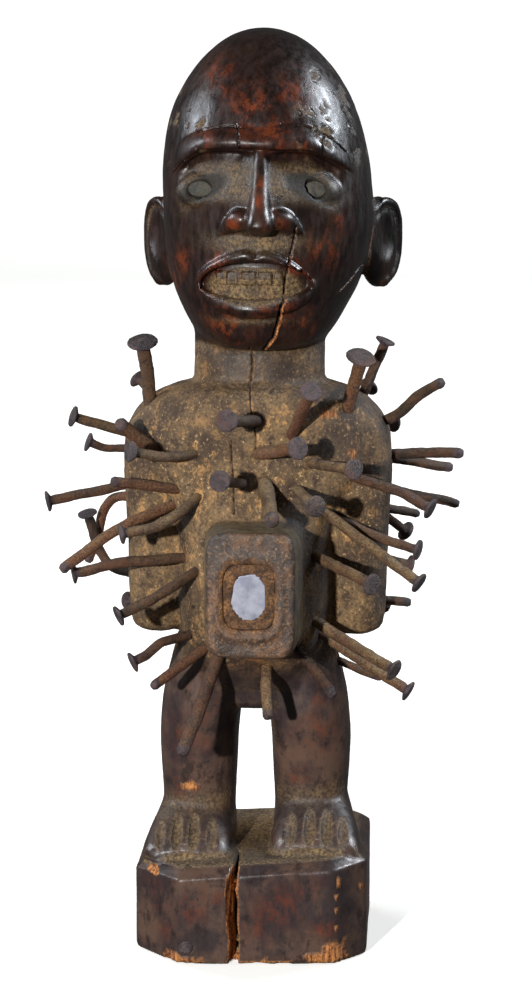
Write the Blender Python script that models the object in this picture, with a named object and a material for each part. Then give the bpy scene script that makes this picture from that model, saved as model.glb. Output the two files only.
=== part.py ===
"""Nail figure: a standing figure carved from one block of wood together with its plinth.

The carving has a tall egg-shaped head, slab-like arms, a box on the belly and short legs.
Iron nails are driven into it, a mirror is bedded in the box, and each eye holds a piece of glass.
Metres, +Z up, facing -Y. The origin is the middle of the plinth's underside.
"""

import math

import bmesh
import bpy
from mathutils import Matrix, Vector

# Driving sizes
BODY_HEIGHT = 0.314
PLINTH_WIDTH = 0.0892
PLINTH_DEPTH = 0.081
PLINTH_HEIGHT = 0.036
PLINTH_FRONT = 0.043
PLINTH_TOP_BEVEL = 0.0035
PLINTH_TOP_INSET = 0.0045
PLINTH_TOP_RISE = 0.0055
PLINTH_FRONT_TURN = 0.004
PLINTH_FOOT_BEVEL = 0.003
CORNER_FRONT_LEFT = 0.018
CORNER_FRONT_RIGHT = 0.012
CORNER_BACK = 0.013
SPLIT_WIDTH = 0.0043
SPLIT_TORN_DEPTH = 0.007
SLIT_WIDTH = 0.0014
SLIT_END_WIDTH = 0.0005
SPLIT_LENGTH = 0.026
SPLIT_LEAN = 0.0002
SPLIT_X = -0.0064
NAIL_DIAMETER = 0.0040
NAIL_HEAD_DIAMETER = 0.0080
NAIL_HEAD_THICKNESS = 0.0012
NAIL_DRIVEN_DEPTH = 0.011
NAIL_MOUTH = 0.009
NAIL_CLEARANCE = 0.0003
NAIL_TAPER = 0.72
HEAD_SPREAD = {"round": 1.0, "broad": 1.3, "flush": 0.75}
MIRROR_WIDTH = 0.0124
MIRROR_HEIGHT = 0.0164
MIRROR_THICKNESS = 0.0018
BEDDING_WIDTH = 0.0185
BEDDING_HEIGHT = 0.0240
BEDDING_THICKNESS = 0.0030
POCKET_DEPTH = 0.0042
EYE_GLASS_WIDTH = 0.0074
EYE_GLASS_HEIGHT = 0.0064
EYE_GLASS_THICKNESS = 0.0022
EYE_SEAT_DEPTH = 0.0024
SEAT_CLEARANCE = 0.0003

# The carving's own unit: 1 mm on a figure whose body is 314 mm tall above the plinth
CARVING_UNITS_TALL = 314.0
UNIT = BODY_HEIGHT / CARVING_UNITS_TALL

# Facets
HEAD_SIDES = 24
BODY_SIDES = 20
LIMB_SIDES = 12
NAIL_SIDES = 6
LIP_SIDES = 6

# Upright forms, in carving units above the plinth: height, middle x, half width, front, back
SKULL = (
    (197.0, 3.5, 18.0, 28.0, 14.0),
    (199.5, 3.5, 23.0, 33.0, 19.0),
    (203.5, 3.5, 26.5, 35.5, 25.0),
    (210.5, 3.6, 30.6, 37.0, 32.0),
    (220.0, 4.2, 34.9, 38.0, 38.5),
    (232.0, 4.9, 37.9, 38.5, 44.0),
    (246.0, 5.0, 39.4, 38.8, 47.5),
    (260.0, 4.3, 39.0, 39.4, 47.7),
    (273.0, 3.7, 37.3, 38.0, 45.3),
    (285.0, 3.3, 34.0, 34.5, 41.0),
    (295.0, 3.2, 28.8, 29.5, 35.0),
    (304.0, 3.1, 21.6, 22.5, 26.5),
    (310.5, 3.1, 13.2, 14.0, 16.5),
    (314.0, 3.0, 3.0, 3.5, 3.5),
)
NECK = (
    (172.0, 1.5, 25.5, 19.5, 24.0),
    (182.0, 1.6, 24.8, 18.0, 23.0),
    (206.0, 1.8, 24.6, 18.0, 24.0),
)
TRUNK = (
    (68.0, 0.2, 22.0, 20.0, 23.0),
    (76.0, 0.2, 25.5, 28.0, 25.5),
    (87.0, 0.3, 28.5, 35.5, 26.5),
    (103.0, 0.3, 30.0, 39.0, 25.0),
    (120.0, 0.5, 30.0, 37.5, 24.0),
    (134.0, 0.8, 33.0, 33.5, 24.5),
    (146.0, 1.0, 41.5, 30.5, 25.5),
    (157.0, 1.1, 48.0, 28.5, 26.0),
    (168.0, 1.1, 47.6, 26.8, 25.0),
    (175.5, 1.2, 42.5, 24.8, 23.5),
    (180.5, 1.5, 33.0, 22.0, 21.5),
    (182.5, 1.5, 25.5, 19.0, 20.0),
)
ARM = (
    (86.5, 37.2, 7.0, 11.0, 12.0),
    (89.5, 37.6, 10.4, 15.8, 17.0),
    (96.0, 37.7, 11.4, 17.2, 19.0),
    (126.0, 38.0, 12.0, 17.8, 18.0),
    (150.0, 38.5, 12.6, 18.2, 17.5),
    (164.0, 38.0, 12.0, 17.8, 17.0),
    (175.0, 33.0, 8.4, 13.0, 13.0),
)
LEG = (
    (5.0, 21.8, 13.6, 12.5, 17.0),
    (20.0, 21.8, 14.2, 13.5, 17.5),
    (40.0, 21.9, 15.2, 16.0, 19.0),
    (58.0, 20.6, 15.5, 18.3, 19.8),
    (84.0, 16.0, 14.0, 18.0, 20.5),
)
PELVIS = (
    (56.5, 0.2, 14.0, 12.0, 15.0),
    (60.0, 0.2, 18.0, 16.0, 18.0),
    (84.0, 0.2, 26.0, 22.0, 22.0),
)
# Feet run along the plinth: y, half width, height of the instep
FOOT = (
    (-29.5, 12.0, 3.4),
    (-28.0, 15.0, 6.0),
    (-23.5, 17.0, 9.8),
    (-16.5, 17.2, 14.5),
    (-9.0, 16.4, 19.0),
    (6.0, 15.0, 22.5),
    (20.5, 9.0, 12.0),
)
FOOT_X_AT_TOES = 25.2
FOOT_X_AT_HEEL = 21.8
FOOT_SUNK = 2.0
# The plinth's top climbs to the right, so the feet stand at different heights
FOOT_LIFT = {-1: 0.8, 1: 3.8}

# The forearm round the hip: x, y, z, radius
FOREARM = (
    (37.0, 10.0, 95.0, 8.0),
    (33.0, 19.0, 96.0, 7.6),
    (24.0, 25.0, 98.0, 6.6),
    (12.0, 27.0, 100.0, 5.6),
)

SKULL_POWER = 2.15
NECK_POWER = 2.3
TRUNK_POWER = 2.5
ARM_POWER = 3.0
LEG_POWER = 2.2
FOOT_POWER = 2.6

# The face, in carving units
MOUTH_X = 1.9
MOUTH_Z = 221.5
MOUTH_HALF_WIDTH = 20.0
UPPER_LIP_RISE = 10.2
LOWER_LIP_DROP = 6.8
UPPER_LIP_RADIUS = 2.3
LOWER_LIP_RADIUS = 3.3
LIP_CORNER_RADIUS = 1.6
MOUTH_FLOOR = -34.0
# The squared teeth: x from the mouth's middle, width, z of the biting edge
TEETH = (
    (-12.0, 4.0, 220.4),
    (-6.2, 5.2, 219.6),
    (0.6, 6.0, 219.2),
    (7.4, 5.2, 219.4),
    (13.0, 3.8, 220.2),
)
EYE_X = 2.8
EYE_OFFSET = 20.8
EYE_Z = 256.0
EYE_SLOPE = math.radians(12)
SOCKET_TURN = math.radians(18)
LID_FRONT = -32.6
EAR_X = {-1: -35.4, 1: 45.6}
EAR_TURN = math.radians(26)
# The brow's ridge from temple to temple: x, z, radius
BROW = (
    (-31.5, 263.0, 1.8),
    (-27.0, 270.0, 3.6),
    (-17.0, 275.2, 4.0),
    (-5.0, 275.2, 3.6),
    (5.0, 274.2, 3.4),
    (14.0, 275.2, 3.6),
    (23.0, 275.0, 4.0),
    (31.0, 271.0, 3.6),
    (37.5, 264.0, 2.6),
)
# The nose from bridge to tip: z, middle y, half width, half depth
NOSE_X = 4.6
NOSE = (
    (270.5, -37.0, 2.2, 2.5),
    (260.0, -40.0, 2.8, 3.5),
    (250.5, -43.5, 3.8, 5.0),
    (243.5, -46.2, 4.8, 5.0),
    (240.0, -44.0, 3.2, 3.5),
)

# The box on the belly, in carving units: y, half width, half height
BOX = (
    (-58.0, 15.2, 22.3),
    (-57.0, 16.1, 23.2),
    (-28.0, 18.6, 23.0),
)
BOX_X = 2.0
BOX_Z = 110.9
POCKET_X = 1.5
POCKET_Z = 110.5
BOX_POWER = 7.0
BOX_SIDES = 20

TOE_GAPS = (-10.2, -3.0, 3.6, 10.1)
TOE_GAP_RADII = (2.2, 10.5, 3.6)
TOE_GAP_SLOPE = math.radians(40)

# Nails, in carving units: name, head, thickness share, then points from the wood outwards.
# A bare nail has lost its head, and the flush one is hammered home.
NAILS = (
    ("shoulder_left_1", "broad", 1.35, (-39.5, -8, 175), (-40.0, -12, 187), (-41.1, -17, 199)),
    ("shoulder_left_2", "round", 0.9, (-38.5, 9, 173.5), (-47.0, 15, 181)),
    ("shoulder_left_3", "bare", 1.3, (-35.5, -19, 157.5), (-42.0, -25.5, 163.5), (-48.5, -33, 170.5)),
    ("arm_left_1", "round", 1.0, (-48.5, 0, 161.5), (-69.5, -8, 169)),
    ("arm_left_2", "round", 0.8, (-48.5, 7, 154.5), (-57, 6, 154.5), (-65.5, 4, 157.5)),
    ("arm_left_3", "round", 1.0, (-49.0, 2, 141.3), (-80.0, -6, 135.5)),
    (
        "arm_left_4",
        "bare",
        1.0,
        (-49.0, 6, 136),
        (-56.0, 13, 134),
        (-61.5, 19, 127),
        (-63.8, 21, 117),
        (-68, 20, 106.5),
    ),
    (
        "arm_left_5",
        "round",
        1.0,
        (-49.0, 10, 104.5),
        (-57, 13, 106),
        (-62.0, 15, 111),
        (-65, 15, 119),
        (-67.0, 13, 128),
    ),
    ("arm_left_6", "round", 0.8, (-45.0, 15, 93), (-52.5, 20, 91)),
    ("chest_left_1", "round", 1.0, (-22.2, -27, 157.8), (-29.5, -35.5, 158.2), (-42.8, -46, 161.9)),
    ("chest_left_2", "bare", 1.0, (-29.5, -24, 144.2), (-51.2, -34, 148.6)),
    ("chest_left_3", "bare", 1.05, (-33.5, -20, 135.8), (-49, -29, 130), (-69.3, -41, 116)),
    ("belly_left_1", "round", 1.0, (-20.6, -29, 141), (-27, -38, 136.5), (-34, -42, 133), (-46.6, -46, 131)),
    ("belly_left_2", "round", 1.05, (-27.0, -23, 117.6), (-43, -29, 117.5), (-66.6, -32, 113)),
    ("belly_left_3", "round", 1.0, (-21.0, -31, 113.6), (-31, -42, 108.5), (-47.5, -50, 101)),
    ("hip_left_1", "round", 0.95, (-25.0, -25, 88), (-33, -31, 87), (-39, -35, 82.5), (-44, -37, 80.3)),
    ("hip_left_2", "bare", 1.0, (-18.5, -29, 83.2), (-35.7, -42, 72.4)),
    ("hip_left_3", "bare", 1.3, (-12.1, -32, 81.0), (-18, -43, 64), (-24, -52, 49.4)),
    ("crotch_1", "bare", 1.1, (6.0, -27, 77.5), (6.8, -37, 69.5), (7.6, -42, 60.9)),
    ("hip_right_1", "bare", 1.1, (19.5, -29, 83.6), (32.1, -42, 70.2)),
    ("hip_right_2", "round", 1.1, (25.5, -26, 94), (54.7, -44, 80.7)),
    ("hip_right_3", "round", 1.0, (27.5, -20, 87.5), (45, -30, 78.5), (60.1, -35, 70.5)),
    ("hip_right_4", "bare", 0.8, (31.5, -2, 74.0), (49, -12, 69.6)),
    ("belly_right_1", "round", 1.1, (24.7, -27, 119.8), (46.3, -52, 114.5)),
    ("belly_right_2", "round", 1.05, (29.2, -24, 134.8), (63.5, -40, 112.8)),
    ("belly_right_3", "round", 0.95, (37.5, -19, 130.6), (49, -25, 126.5), (63.0, -30, 123.2)),
    ("arm_right_1", "round", 1.0, (41.2, -20, 147.8), (54, -26, 145), (67.3, -32, 139.1)),
    ("chest_right_1", "round", 1.0, (22.1, -26, 154.9), (39.3, -50, 156.7)),
    ("chest_right_2", "round", 1.0, (17.0, -28, 145.5), (25.7, -56, 143.9)),
    ("chest_mid_1", "round", 1.15, (3.0, -27, 158.2), (19.2, -52, 164.6)),
    ("chest_right_3", "round", 1.1, (15.4, -26, 165.7), (23.4, -46, 184.7)),
    ("chest_mid_2", "round", 1.1, (2.2, -25, 170.2), (-6.8, -52, 174.4)),
    ("chest_mid_3", "round", 0.95, (-2.7, -29, 147.4), (-9.2, -56, 152.9)),
    ("chest_mid_4", "bare", 1.45, (5.7, -29, 147), (10.0, -58, 138.6)),
    ("shoulder_right_1", "broad", 1.25, (34.9, -15, 170.2), (38, -21, 184), (40.9, -27, 195)),
    ("shoulder_right_2", "round", 1.0, (38.5, 4, 171.5), (49.5, 2, 198)),
    ("shoulder_right_3", "round", 0.9, (37.5, 12, 172), (43.0, 20, 178)),
    ("shoulder_right_4", "bare", 1.05, (47.5, 0, 166.5), (55, -3, 170.5), (62, -4, 177.5), (71.3, -6, 183.4)),
    ("arm_right_2", "bare", 1.05, (50.0, -1, 154.4), (64, -5, 156), (78.9, -9, 156.5)),
    ("arm_right_3", "bare", 1.0, (50.0, 8, 152.0), (75.3, 13, 147.3)),
    ("arm_right_4", "bare", 0.95, (50.0, 9, 139.5), (78.0, 12, 133.2)),
    ("arm_right_5", "round", 0.95, (48.0, 9, 130), (58.0, 17, 121)),
    ("arm_right_6", "round", 0.75, (46.0, 14, 165), (53.0, 20, 163.5)),
    ("arm_right_7", "bare", 0.9, (48.0, 16, 131), (62.5, 26, 126.5)),
    ("arm_right_8", "round", 0.9, (49.0, 5, 113), (60.0, 9, 109.5)),
    ("arm_right_9", "bare", 0.95, (47.5, 4, 96.6), (60.0, 3, 96.0)),
    ("arm_right_10", "round", 0.8, (43.0, 15, 95), (49.5, 22, 90.5)),
    ("plinth", "flush", 0.8, (-23.6, -42.8, -29.2), (-23.6, -43.2, -29.2)),
    ("back_1", "round", 1.0, (-19, 24, 160), (-27, 50, 168)),
    ("back_2", "bare", 1.0, (4, 24, 150), (9, 48, 152)),
    ("back_3", "round", 1.0, (24, 23, 161), (34, 48, 160)),
    ("back_4", "round", 1.05, (-24, 22, 136), (-36, 46, 133)),
    ("back_5", "round", 1.0, (17, 24, 132), (20, 52, 124)),
    ("back_6", "bare", 0.95, (-6, 23, 128), (-10, 45, 135)),
)

# Worked out from the sizes above
BOX_FRONT_Y = BOX[0][0] * UNIT
POCKET_FLOOR_Y = BOX_FRONT_Y + POCKET_DEPTH
POCKET_CENTRE = (POCKET_X * UNIT, PLINTH_HEIGHT + POCKET_Z * UNIT)
PLATE_POWER = 4.5
PLATE_SIDES = 16
EYE_SEAT_FLOOR_Y = LID_FRONT * UNIT + EYE_SEAT_DEPTH

# Colours: base colour, roughness, metallic
FINISHES = {
    "wood": ((0.13, 0.075, 0.045), 0.45, 0.0),
    "iron": ((0.11, 0.075, 0.06), 0.7, 0.6),
    "resin": ((0.30, 0.17, 0.08), 0.8, 0.0),
    "mirror": ((0.70, 0.73, 0.78), 0.25, 0.9),
    "glass": ((0.30, 0.33, 0.28), 0.2, 0.0),
}


def clear_scene():
    for obj in list(bpy.data.objects):
        bpy.data.objects.remove(obj)


def finish(name):
    """The material of that name, made once."""
    if name in bpy.data.materials:
        return bpy.data.materials[name]
    colour, roughness, metallic = FINISHES[name]
    material = bpy.data.materials.new(name)
    material.use_nodes = True
    shader = material.node_tree.nodes["Principled BSDF"]
    shader.inputs["Base Color"].default_value = (*colour, 1.0)
    shader.inputs["Roughness"].default_value = roughness
    shader.inputs["Metallic"].default_value = metallic
    return material


def placed(x, y, z):
    """A point of the carving, in metres: x and y from the plinth's middle, z above its top."""
    return Vector((x * UNIT, y * UNIT, PLINTH_HEIGHT + z * UNIT))


# Meshes

def mesh_object(name, bm, material):
    """A smooth shaded object from a bmesh, with its faces turned outwards."""
    bmesh.ops.recalc_face_normals(bm, faces=bm.faces)
    mesh = bpy.data.meshes.new(name)
    bm.to_mesh(mesh)
    bm.free()
    mesh.shade_smooth()
    mesh.set_sharp_from_angle(angle=math.radians(35))
    mesh.materials.append(finish(material))
    obj = bpy.data.objects.new(name, mesh)
    bpy.context.scene.collection.objects.link(obj)
    return obj


def loft(name, rings, material="wood"):
    """A closed solid through rings of points, capped at both ends."""
    bm = bmesh.new()
    loops = [[bm.verts.new(point) for point in ring] for ring in rings]
    for low, high in zip(loops, loops[1:]):
        for i in range(len(low)):
            j = (i + 1) % len(low)
            bm.faces.new((low[i], low[j], high[j], high[i]))
    bm.faces.new(loops[0])
    bm.faces.new(loops[-1])
    return mesh_object(name, bm, material)


def closed_sweep(name, rings, material="wood"):
    """A closed solid through rings that come back to the first, such as a lip all round."""
    bm = bmesh.new()
    loops = [[bm.verts.new(point) for point in ring] for ring in rings]
    for k, low in enumerate(loops):
        high = loops[(k + 1) % len(loops)]
        for i in range(len(low)):
            j = (i + 1) % len(low)
            bm.faces.new((low[i], low[j], high[j], high[i]))
    return mesh_object(name, bm, material)


def ellipsoid(name, centre, radii, turn=None, across=12, down=8):
    """An ellipsoid in carving units. turn is a rotation matrix about its centre."""
    bm = bmesh.new()
    bmesh.ops.create_uvsphere(bm, u_segments=across, v_segments=down, radius=UNIT)
    size = Matrix.Diagonal((*radii, 1.0))
    turned = turn.to_4x4() if turn else Matrix.Identity(4)
    bm.transform(Matrix.Translation(placed(*centre)) @ turned @ size)
    return mesh_object(name, bm, "wood")


def signed_power(value, power):
    return math.copysign(abs(value) ** power, value)


def superellipse(half_a, half_b, power, sides):
    """Points round a squarish oval. A power of 2 is an ellipse, and more is squarer."""
    points = []
    for i in range(sides):
        angle = 2 * math.pi * (i + 0.5) / sides
        points.append(
            (
                half_a * signed_power(math.cos(angle), 2 / power),
                half_b * signed_power(math.sin(angle), 2 / power),
            )
        )
    return points


def upright_rings(stations, power, sides, shift_x=0.0, side=1):
    """Horizontal rings through a table of heights. side mirrors a limb's middle x."""
    rings = []
    for z, middle, half_width, front, back in stations:
        ring = []
        for x, y in superellipse(half_width, 1.0, power, sides):
            ring.append(placed(shift_x + side * middle + x, y * (front if y < 0 else back), z))
        rings.append(ring)
    return rings


def frames_along(points):
    """Two directions across a path at each of its points, carried along without twisting."""
    tangents = []
    for i in range(len(points)):
        before = points[max(i - 1, 0)]
        after = points[min(i + 1, len(points) - 1)]
        tangents.append((after - before).normalized())
    across = tangents[0].orthogonal().normalized()
    frames = []
    for tangent in tangents:
        across = (across - tangent * across.dot(tangent)).normalized()
        frames.append((across, tangent.cross(across)))
    return frames


def tube_rings(points, radii, sides):
    """Round rings square to a path."""
    rings = []
    for point, radius, (right, up) in zip(points, radii, frames_along(points)):
        ring = []
        for i in range(sides):
            angle = 2 * math.pi * i / sides
            ring.append(point + right * (radius * math.cos(angle)) + up * (radius * math.sin(angle)))
        rings.append(ring)
    return rings


# The carved figure

def row_at(stations, z):
    """A table's values at a height, halfway values being straight between its rows."""
    for low, high in zip(stations, stations[1:]):
        if low[0] <= z <= high[0]:
            share = (z - low[0]) / (high[0] - low[0])
            return [a + (b - a) * share for a, b in zip(low, high)]
    return stations[-1]


def face_y(x, z):
    """The front surface of the skull at a point of the face."""
    _, middle, half_width, front, _ = row_at(SKULL, z)
    across = min(abs(x - middle) / half_width, 0.99)
    return -front * (1 - across**SKULL_POWER) ** (1 / SKULL_POWER)


def head_forms():
    forms = [loft("skull_form", upright_rings(SKULL, SKULL_POWER, HEAD_SIDES))]
    forms.append(loft("neck_form", upright_rings(NECK, NECK_POWER, BODY_SIDES)))
    for side in (-1, 1):
        turn = Matrix.Rotation(-side * EAR_TURN, 3, "Z")
        forms.append(ellipsoid("ear_form", (EAR_X[side], 15, 234), (6.0, 11.5, 17.2), turn, 10, 8))
    return forms


def brow_form():
    """The overhanging rib above both eyes."""
    points = [placed(x, face_y(x, z) + radius * 0.5, z) for x, z, radius in BROW]
    return loft("brow_form", tube_rings(points, [radius * UNIT for _, _, radius in BROW], 8))


def nose_forms():
    """A narrow ridge that widens into a tip, with a wing on each side."""
    rings = []
    for z, y, half_width, half_depth in NOSE:
        outline = superellipse(half_width, half_depth, 2.2, 10)
        rings.append([placed(NOSE_X + x, y + dy, z) for x, dy in outline])
    forms = [loft("nose_form", rings)]
    for side in (-1, 1):
        centre = (NOSE_X + side * 9.6, -39.5, 246.0)
        forms.append(ellipsoid("nostril_form", centre, (4.9, 5.6, 5.4), None, 10, 6))
    forms.append(ellipsoid("nose_root_form", (NOSE_X, -35.0, 251.0), (9.5, 5.5, 9.5), None, 10, 6))
    return forms


def mouth_outline(count, grow=0.0):
    """Points round the middle of the lips, as x and z from the mouth's centre."""
    points = []
    for i in range(count):
        angle = 2 * math.pi * i / count
        rise = UPPER_LIP_RISE if math.sin(angle) > 0 else LOWER_LIP_DROP
        points.append(
            (
                (MOUTH_HALF_WIDTH + grow) * math.cos(angle),
                (rise + grow) * signed_power(math.sin(angle), 0.9),
            )
        )
    return points


def lips_form():
    """One rounded lip all round the open mouth."""
    rings = []
    for x, z in mouth_outline(18):
        middle_share = 1 - abs(x) / MOUTH_HALF_WIDTH
        fullest = UPPER_LIP_RADIUS if z > 0 else LOWER_LIP_RADIUS
        radius = LIP_CORNER_RADIUS + (fullest - LIP_CORNER_RADIUS) * min(1.0, 2.2 * middle_share)
        y = face_y(MOUTH_X + x, MOUTH_Z + z) + 0.2
        outward = Vector((x, 0, z * 2)).normalized()
        ring = []
        for i in range(LIP_SIDES):
            angle = 2 * math.pi * i / LIP_SIDES
            across = outward * (radius * math.cos(angle))
            lift = radius * 1.25 * math.sin(angle)
            ring.append(placed(MOUTH_X + x + across.x, y - lift, MOUTH_Z + z + across.z))
        rings.append(ring)
    return closed_sweep("lips_form", rings)


def trunk_forms():
    forms = [
        loft("pelvis_form", upright_rings(PELVIS, LEG_POWER, BODY_SIDES)),
        loft("box_form", box_rings()),
    ]
    for side in (-1, 1):
        forms.append(loft("arm_form", upright_rings(ARM, ARM_POWER, LIMB_SIDES, 1.1, side)))
        forms.append(loft("leg_form", upright_rings(LEG, LEG_POWER, LIMB_SIDES + 2, 0.0, side)))
        forms.append(loft("foot_form", foot_rings(side)))
        forms.append(forearm_form(side))
        forms.append(ellipsoid("hand_form", (side * 8.5, 27.5, 101), (8.5, 5.0, 6.5), None, 10, 6))
    return forms


def forearm_form(side):
    """From the elbow round the hip to the small of the back."""
    points = [placed(side * x, y, z) for x, y, z, _ in FOREARM]
    return loft("forearm_form", tube_rings(points, [row[3] * UNIT for row in FOREARM], 10))


def foot_rings(side):
    """Rings across the foot, with a flat sole sunk a little into the plinth."""
    toes, heel = FOOT[0][0], FOOT[-1][0]
    rings = []
    for y, half_width, rise in FOOT:
        share = (y - toes) / (heel - toes)
        middle = side * (FOOT_X_AT_TOES + (FOOT_X_AT_HEEL - FOOT_X_AT_TOES) * share)
        ring = []
        for x, z in superellipse(half_width, 1.0, FOOT_POWER, LIMB_SIDES + 2):
            height = z * rise if z > 0 else z * FOOT_SUNK
            ring.append(placed(middle + x, y, FOOT_LIFT[side] + height))
        rings.append(ring)
    return rings


def box_rings():
    """Upright rings of the belly box, square to y."""
    rings = []
    for y, half_width, half_height in BOX:
        outline = superellipse(half_width, half_height, BOX_POWER, BOX_SIDES)
        rings.append([placed(BOX_X + x, y, BOX_Z + z) for x, z in outline])
    return rings


def plinth_outline(inset):
    """Corners of the plinth seen from above, its front a little turned and its corners cut unevenly."""
    left = -PLINTH_WIDTH / 2 + inset
    right = PLINTH_WIDTH / 2 - inset
    front = -PLINTH_FRONT + inset
    back = PLINTH_DEPTH - PLINTH_FRONT - inset
    return (
        (left, front + CORNER_FRONT_LEFT),
        (left + CORNER_FRONT_LEFT, front),
        (right - CORNER_FRONT_RIGHT, front + PLINTH_FRONT_TURN),
        (right, front + PLINTH_FRONT_TURN + CORNER_FRONT_RIGHT),
        (right, back - CORNER_BACK),
        (right - CORNER_BACK, back),
        (left + CORNER_BACK, back),
        (left, back - CORNER_BACK),
    )


def plinth_form():
    """The plinth, its top climbing from the left to the right."""
    levels = (
        (0.0, PLINTH_FOOT_BEVEL, 0.0),
        (PLINTH_FOOT_BEVEL, PLINTH_FOOT_BEVEL * 0.4, 0.0),
        (PLINTH_HEIGHT - PLINTH_TOP_BEVEL, 0.0, PLINTH_TOP_RISE),
        (PLINTH_HEIGHT, PLINTH_TOP_INSET, PLINTH_TOP_RISE),
    )
    rings = []
    for z, inset, rise in levels:
        rings.append([(x, y, z + rise * (x / PLINTH_WIDTH + 0.5)) for x, y in plinth_outline(inset)])
    return loft("plinth_form", rings)


# What is cut away

def socket_cutter(side):
    """The hollow under one brow."""
    turn = Matrix.Rotation(side * SOCKET_TURN, 3, "Z") @ Matrix.Rotation(side * EYE_SLOPE, 3, "Y")
    centre = (EYE_X + side * 20.5, -40.0, 258.5)
    return ellipsoid("socket_cut", centre, (17.0, 11.0, 12.5), turn, 14, 8)


def ear_cutter(side):
    """The hollow of the ear, open to the front."""
    turn = Matrix.Rotation(-side * EAR_TURN, 3, "Z")
    centre = (EAR_X[side] + side * 4.6, 8.5, 236.5)
    return ellipsoid("ear_cut", centre, (3.6, 8.0, 11.0), turn, 10, 7)


def mouth_cutter():
    """The open mouth between the lips."""
    rings = []
    for y in (-50.0, MOUTH_FLOOR):
        rings.append([placed(MOUTH_X + x * 0.9, y, MOUTH_Z + z * 0.72) for x, z in mouth_outline(18)])
    return loft("mouth_cut", rings)


def toe_cutter(side, offset):
    """The gap between two toes, a leaf-shaped notch that follows the instep."""
    turn = Matrix.Rotation(TOE_GAP_SLOPE, 3, "X")
    centre = (side * FOOT_X_AT_TOES + offset, -24.0, 11.0 + FOOT_LIFT[side])
    return ellipsoid("toe_cut", centre, TOE_GAP_RADII, turn, 6, 5)


def split_cutter():
    """The drying split in the plinth's front, torn open at its left and a narrow slit further in."""
    over = 0.002
    front = -PLINTH_FRONT - over
    torn = -PLINTH_FRONT + SPLIT_TORN_DEPTH
    back = -PLINTH_FRONT + SPLIT_LENGTH
    slit_x = SPLIT_X + (SPLIT_WIDTH - SLIT_WIDTH) / 2
    top = PLINTH_HEIGHT + PLINTH_TOP_RISE + over
    outline = (
        (SPLIT_X - SPLIT_WIDTH / 2, front),
        (SPLIT_X + SPLIT_WIDTH / 2, front),
        (slit_x + SLIT_WIDTH / 2, torn),
        (slit_x + SLIT_END_WIDTH / 2, back),
        (slit_x - SLIT_END_WIDTH / 2, back),
        (slit_x - SLIT_WIDTH / 2, torn),
    )
    rings = [[(x + lean, y, z) for x, y in outline] for z, lean in ((-over, -SPLIT_LEAN), (top, SPLIT_LEAN))]
    return loft("split_cut", rings)


def oval_plate(name, centre, width, height, front, back, power, sides, material):
    """An upright plate with a rounded outline. centre is x and z in metres, front and back are y."""
    outline = superellipse(width / 2, height / 2, power, sides)
    rings = []
    for y in (front, back):
        rings.append([(centre[0] + x, y, centre[1] + z) for x, z in outline])
    return loft(name, rings, material)


def square_plate(name, width, height, front, back, material):
    """A plate in the middle of the box's face with the rounded square outline of the pocket."""
    outline = (POCKET_CENTRE, width, height)
    return oval_plate(name, *outline, front, back, PLATE_POWER, PLATE_SIDES, material)


def pocket_cutter():
    """The pocket in the box's face, a clearance larger than the bedding."""
    width = BEDDING_WIDTH + 2 * SEAT_CLEARANCE
    height = BEDDING_HEIGHT + 2 * SEAT_CLEARANCE
    return square_plate("pocket_cut", width, height, BOX_FRONT_Y - 0.002, POCKET_FLOOR_Y, "wood")


def eye_centre(side):
    return ((EYE_X + side * EYE_OFFSET) * UNIT, PLINTH_HEIGHT + EYE_Z * UNIT)


def eye_seat_cutter(side):
    """The seat for one eye's glass, a clearance larger than the glass."""
    width = EYE_GLASS_WIDTH + 2 * SEAT_CLEARANCE
    height = EYE_GLASS_HEIGHT + 2 * SEAT_CLEARANCE
    front = EYE_SEAT_FLOOR_Y - 0.012
    outline = (eye_centre(side), width, height)
    return oval_plate("eye_seat_cut", *outline, front, EYE_SEAT_FLOOR_Y, 2.2, 12, "wood")


# What stands up inside the cuts

def eye_mound(side):
    """The lids, an almond-shaped swelling in the socket."""
    turn = Matrix.Rotation(side * EYE_SLOPE, 3, "Y")
    centre = (EYE_X + side * EYE_OFFSET, LID_FRONT + 5.0, EYE_Z)
    return ellipsoid("eye_form", centre, (9.4, 6.0, 6.2), turn, 12, 6)


def teeth_forms():
    """A row of squared teeth behind the upper lip, and the lower gum."""
    forms = []
    back = MOUTH_FLOOR + 1.5
    top = MOUTH_Z + UPPER_LIP_RISE - 1.5
    for x, width, foot in TEETH:
        front = back - 4.6 + abs(x) * 0.08
        middle = placed(MOUTH_X + x, (front + back) / 2, (foot + top) / 2)
        size = (width * UNIT, (back - front) * UNIT, (top - foot) * UNIT, 1.0)
        bm = bmesh.new()
        bmesh.ops.create_cube(bm, size=1.0)
        bm.transform(Matrix.Translation(middle) @ Matrix.Diagonal(size))
        forms.append(mesh_object("tooth_form", bm, "wood"))
    return forms


# Nails

def nail_points(row):
    """The nail's line from its buried end to its head, in metres."""
    points = [placed(*point) for point in row[3:]]
    inwards = (points[0] - points[1]).normalized()
    points.insert(0, points[0] + inwards * NAIL_DRIVEN_DEPTH)
    return points


def nail_radius(row):
    return NAIL_DIAMETER / 2 * row[2]


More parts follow.
